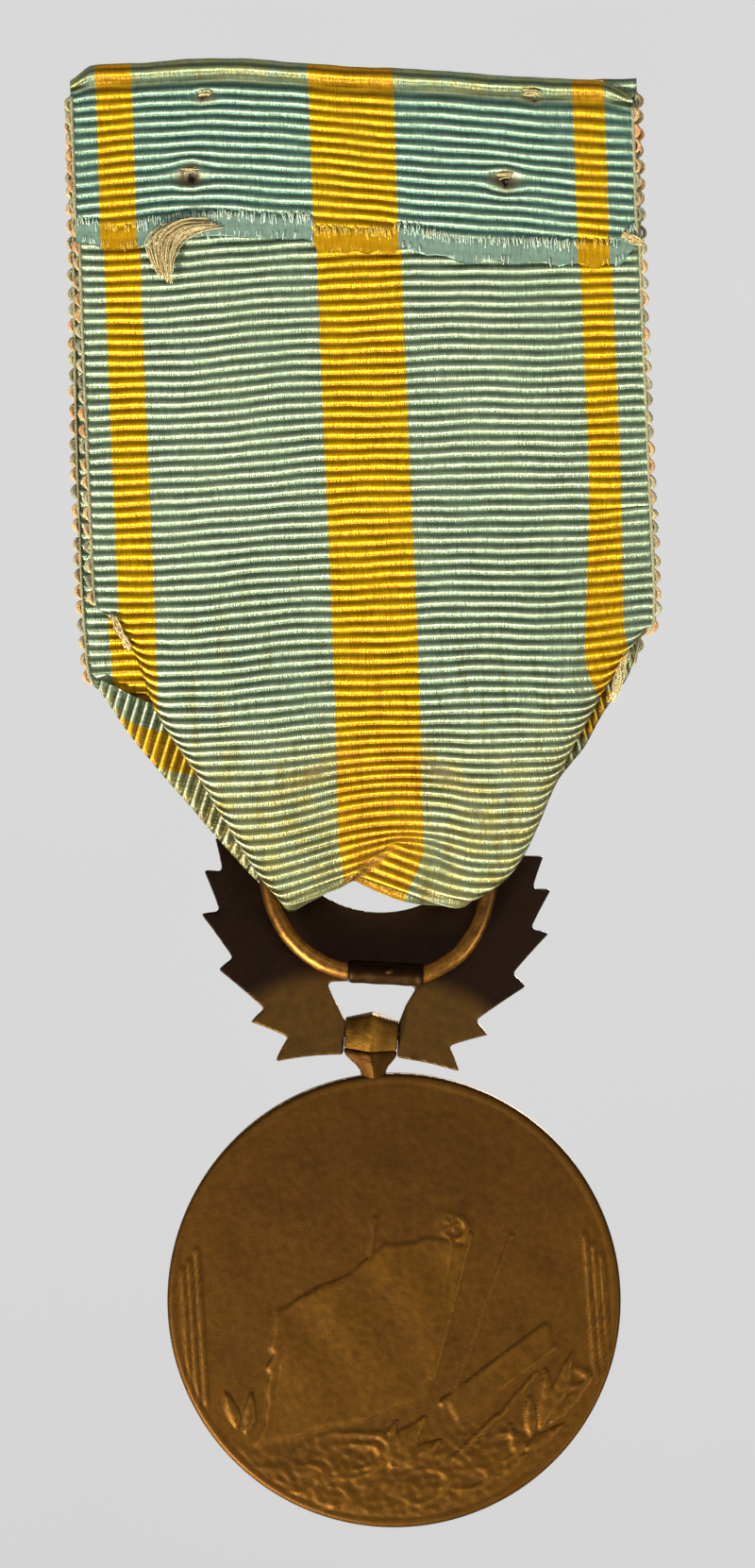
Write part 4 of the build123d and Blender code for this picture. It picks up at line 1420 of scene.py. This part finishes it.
def disc_piece(material):
    """The struck disc: fine rings of points carry the relief of both faces and the worn rim."""
    sides = 448
    turns = np.linspace(0, 2 * math.pi, sides, endpoint=False)
    back_points, proud_back, shade_and_patina_back = disc_face(turns, 124, True)
    front_points, proud_front, dull_front = disc_face(turns, 66, False)
    edge = back_points[-1]
    levels = (0.72, 0.4, 0.0, -0.4, -0.72)
    edges = [np.stack([edge[:, 0], np.full(sides, y), edge[:, 2]], axis=1) for y in levels]
    grid = np.vstack([back_points, np.array(edges), front_points[::-1]])
    rows = len(grid)
    points = grid.reshape(-1, 3)
    faces = grid_faces(rows, sides, closed=True)
    faces.append(tuple(range(sides))[::-1])
    faces.append(tuple(range((rows - 1) * sides, rows * sides)))
    piece = mesh_object("bronze_disc", points, faces, disc_matrix())
    face_outward(piece)
    plain = np.zeros((len(levels), sides))
    set_numbers(piece, "wear_and_highlight", np.vstack([proud_back, plain + 0.5, proud_front[::-1]]))
    set_numbers(piece, "patina_and_shade", np.vstack([shade_and_patina_back, plain, dull_front[::-1]]))
    piece.data.materials.append(material)
    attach(piece, "disc")
    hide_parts("medal_disc")
    return piece


def disc_face(turns, count, is_back):
    """One struck face: its points, how worn and light the metal is at each, and how dark with patina, with
    painted shade on the back's upper part.
    """
    rim_start = DISC_RADIUS - RIM_WIDTH
    inner = np.linspace(0.05, rim_start - 0.1, count)
    rim = np.array([RIM_WIDTH + 0.02, RIM_WIDTH - 0.12, RIM_WIDTH - 0.2, 0.28, 0.16, 0.08, 0.03])
    radii = np.concatenate([inner, DISC_RADIUS - rim])
    radius, turn = np.meshgrid(radii, turns, indexing="ij")
    dented = 0.10 * np.sin(turn * 2 + 0.6) + 0.05 * np.sin(turn * 5 + 2.0)
    wobble = 1 + 0.0016 * dented * smooth_step(radius, 12, 15)
    x = radius * wobble * np.sin(turn)
    z = radius * wobble * np.cos(turn)
    rim_lift = RIM_HEIGHT * 0.7 * smooth_step(radius, rim_start - 0.12, rim_start + 0.1)
    rim_round = 0.22 * smooth_step(radius, DISC_RADIUS - 0.30, DISC_RADIUS) ** 2
    flat = np.stack([x, z], axis=-1).reshape(-1, 2)
    grain = np.array([noise.noise(Vector((a * 0.35, b * 0.35, 9.0))) for a, b in flat]).reshape(x.shape)
    fine = np.array([noise.noise(Vector((a * 2.2, b * 2.2, 4.0))) for a, b in flat]).reshape(x.shape)
    relief = trophy_relief(-x, z) if is_back else front_relief(x, z)
    within = smooth_step(rim_start - radius, 0.0, 0.3)
    worn = 0.035 * grain + (0.012 + 0.065 * is_back * smooth_step(-z, 7.5, 10.5)) * fine
    rim_share = 0.25 if is_back else 1.0
    depth = DISC_THICKNESS / 2 + rim_share * rim_lift - rim_round + within * (relief + worn)
    points = np.stack([x, depth if is_back else -depth, z], axis=-1)
    edge_lift = smooth_step(radius, rim_start - 0.2, DISC_RADIUS - 0.1)
    if not is_back:
        wear_and_highlight = np.clip(smooth_step(relief, 0.1, 0.25) * 0.85 + 0.5 * edge_lift, 0, 1)
        return points, wear_and_highlight, 0.55 * smooth_step(-relief + 0.04, 0, 0.04)
    slope_out = np.gradient(relief, axis=0) / np.gradient(radii)[:, None]
    slope_round = np.gradient(relief, axis=1) / (turns[1] * np.maximum(radius, 1.0))
    lines = smooth_step(np.hypot(slope_out, slope_round), 0.12, 0.5)
    wear_and_highlight = np.clip(0.22 * smooth_step(relief, 0.05, 0.16) + 0.35 * lines * (relief > 0.07), 0, 1)
    plain = smooth_step(0.03 - relief, 0, 0.03) * smooth_step(13.5 - radius, 0, 2)
    # Painted shade darkens the upper part; the flat field and the foot of the relief lines are darker with
    # patina.
    patina_and_shade = np.clip(0.22 * smooth_step(z, 2.0, 12.0) + 0.10 * plain + 0.45 * lines * (relief <= 0.07), 0, 1)
    return points, wear_and_highlight, patina_and_shade


# ---------------------------------------------------------------- stage

def look_at(thing, target, roll=0.0):
    """Turns a camera or light to a point, and rolls it in degrees."""
    direction = (Vector(target) - thing.location).normalized()
    thing.rotation_mode = "QUATERNION"
    turn = direction.to_track_quat("-Z", "Y")
    thing.rotation_quaternion = turn @ Matrix.Rotation(math.radians(roll), 4, "Z").to_quaternion()


def make_camera():
    """The camera in front of the medal's back."""
    data = bpy.data.cameras.new("camera")
    data.lens = LENS
    data.sensor_width = SENSOR
    data.dof.use_dof = False
    camera = bpy.data.objects.new("camera", data)
    bpy.context.scene.collection.objects.link(camera)
    distance = VIEW_HEIGHT * LENS / SENSOR
    camera.location = Vector((VIEW_CENTRE[0], distance, VIEW_CENTRE[1])) * MM
    look_at(camera, Vector((VIEW_CENTRE[0], 0, VIEW_CENTRE[1])) * MM, VIEW_ROLL)
    data.clip_start = 0.01
    data.clip_end = 20
    bpy.context.scene.camera = camera


def area_light(name, place, size, power, colour=(1, 1, 1)):
    """A soft light that faces the medal's middle, its place and size in metres."""
    data = bpy.data.lights.new(name, "AREA")
    data.shape = "RECTANGLE"
    data.size, data.size_y = size
    data.energy = power
    data.color = colour
    light = bpy.data.objects.new(name, data)
    bpy.context.scene.collection.objects.link(light)
    light.location = place
    light.visible_camera = False
    look_at(light, (0, 0, -0.05))


def make_lights():
    """Studio light from both sides, the key low on the side of the back."""
    area_light("key", (0.26, 0.25, -0.38), (0.08, 0.08), 5.6, (1.0, 0.99, 0.93))
    area_light("low_right", (-0.34, 0.26, -0.30), (0.12, 0.12), 1.1, (1.0, 0.99, 0.94))
    area_light("fill", (-0.25, 0.55, 0.25), (0.5, 0.5), 0.9, (0.95, 0.98, 1.0))
    area_light("front_key", (-0.22, -0.38, 0.16), (0.2, 0.2), 4.6, (1.0, 0.99, 0.96))
    area_light("front_fill", (0.35, -0.45, -0.15), (0.4, 0.4), 1.6)


def make_world():
    """A dim grey world that looks paler to the camera."""
    world = bpy.data.worlds.new("world")
    bpy.context.scene.world = world
    world.use_nodes = True
    tree = world.node_tree
    tree.nodes.clear()
    seen = tree.nodes.new("ShaderNodeBackground")
    seen.inputs["Color"].default_value = (0.72, 0.72, 0.71, 1)
    lit = tree.nodes.new("ShaderNodeBackground")
    lit.inputs["Color"].default_value = (0.80, 0.83, 0.86, 1)
    lit.inputs["Strength"].default_value = 0.26
    path = tree.nodes.new("ShaderNodeLightPath")
    mix = tree.nodes.new("ShaderNodeMixShader")
    output = tree.nodes.new("ShaderNodeOutputWorld")
    tree.links.new(path.outputs["Is Camera Ray"], mix.inputs[0])
    tree.links.new(lit.outputs[0], mix.inputs[1])
    tree.links.new(seen.outputs[0], mix.inputs[2])
    tree.links.new(mix.outputs[0], output.inputs["Surface"])


def make_floor():
    """A pale floor that curves up all round into a plain backdrop."""
    profile = [(FLOOR_RADIUS, FLOOR_LEVEL)]
    for angle in np.linspace(0, math.pi / 2, 10)[1:]:
        reach = FLOOR_RADIUS + FLOOR_CURVE * math.sin(angle)
        profile.append((reach, FLOOR_LEVEL + FLOOR_CURVE * (1 - math.cos(angle))))
    profile.append((FLOOR_RADIUS + FLOOR_CURVE, BACKDROP_TOP))
    sides = 64
    turns = np.linspace(0, 2 * math.pi, sides, endpoint=False)
    points = [(r * math.cos(t), r * math.sin(t), z) for r, z in profile for t in turns]
    faces = [f[::-1] for f in grid_faces(len(profile), sides, closed=True)]
    faces.append(tuple(range(sides)))
    floor = mesh_object("floor", points, faces)
    n = Nodes("pale_floor")
    tone = n.ramp(n.noise(n.place(0.004), 1.0), [(0.3, 0.60), (0.7, 0.64)])
    floor.data.materials.append(n.finish(Base_Color=tone, Roughness=0.8, Emission_Color=(0.9, 0.9, 0.89, 1)))
    n.shader.inputs["Emission Strength"].default_value = 0.5
    floor.visible_diffuse = False
    floor.visible_glossy = False
    floor.visible_shadow = False


# ---------------------------------------------------------------- build

make_camera()
make_lights()
make_world()
make_floor()
bpy.context.scene.view_settings.view_transform = "Standard"

ribbon, strip_length = ribbon_mesh()
ribbon.data.materials.append(silk_material())
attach(ribbon, "ribbon")
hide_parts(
    "ribbon_front_panel", "ribbon_back_panel", "ribbon_bottom_fold", "ribbon_top_hem",
    "ribbon_front_tuck_right", "ribbon_front_tuck_left", "ribbon_back_tuck_right", "ribbon_back_tuck_left")

picot = thread_material(
    "picot_thread", [(196, 134, 70), (206, 166, 104), (160, 128, 78), (178, 168, 120), (122, 112, 78)])
frayed = thread_material(
    "frayed_silk", [(176, 204, 190), (214, 226, 200), (190, 170, 70), (222, 176, 16), (246, 206, 40)])
straw = thread_material("straw_thread", [(168, 136, 74), (198, 170, 104), (222, 200, 140)])
pieces_on_ribbon = [
    picot_row("picots_back_plus", 1, 1, 2.0, 35.2, picot, "picot_back_right"),
    picot_row("picots_back_minus", -1, 1, 2.4, 38.8, picot, "picot_back_left"),
    picot_row("picots_front_plus", 1, -1, 1.6, 40.2, picot, "picot_front_right"),
    picot_row("picots_front_minus", -1, -1, 2.4, 40.6, picot, "picot_front_left"),
    picot_row("picots_hem_plus", 1, 1, 2.2, 10.6, picot, None, hem_edge_place),
    picot_row("picots_hem_minus", -1, 1, 1.4, 10.2, picot, None, hem_edge_place),
    hem_fringe(frayed),
    loose_threads(straw),
]

ring_bronze = bronze_material(
    "ring_bronze", (84, 54, 14), (104, 66, 18), (156, 106, 36), (0.34, 0.5), 0.85, 0.015)
dark_bronze = bronze_material(
    "wreath_bronze", (70, 46, 18), (84, 55, 16), (122, 84, 26), (0.42, 0.6), 0.8, 0.02, even=True)
clasp_metal = bronze_material(
    "clasp_metal", (44, 29, 14), (54, 36, 17), (116, 82, 40), (0.5, 0.64), 0.97, 0.02)
gold_bronze = bronze_material(
    "disc_bronze", (80, 48, 4), (89, 55, 4), (122, 80, 14), (0.48, 0.62), 0.85, 0.02, even=True)
lug_bronze = bronze_material("lug_bronze", (80, 52, 16), (98, 66, 20), (140, 98, 34), (0.46, 0.6), 0.97)
ring_piece(ring_bronze)
wreath_plate(dark_bronze)
curled_clasp(clasp_metal)
crossbar(dark_bronze)
strap_and_lug(lug_bronze)
disc_piece(gold_bronze)
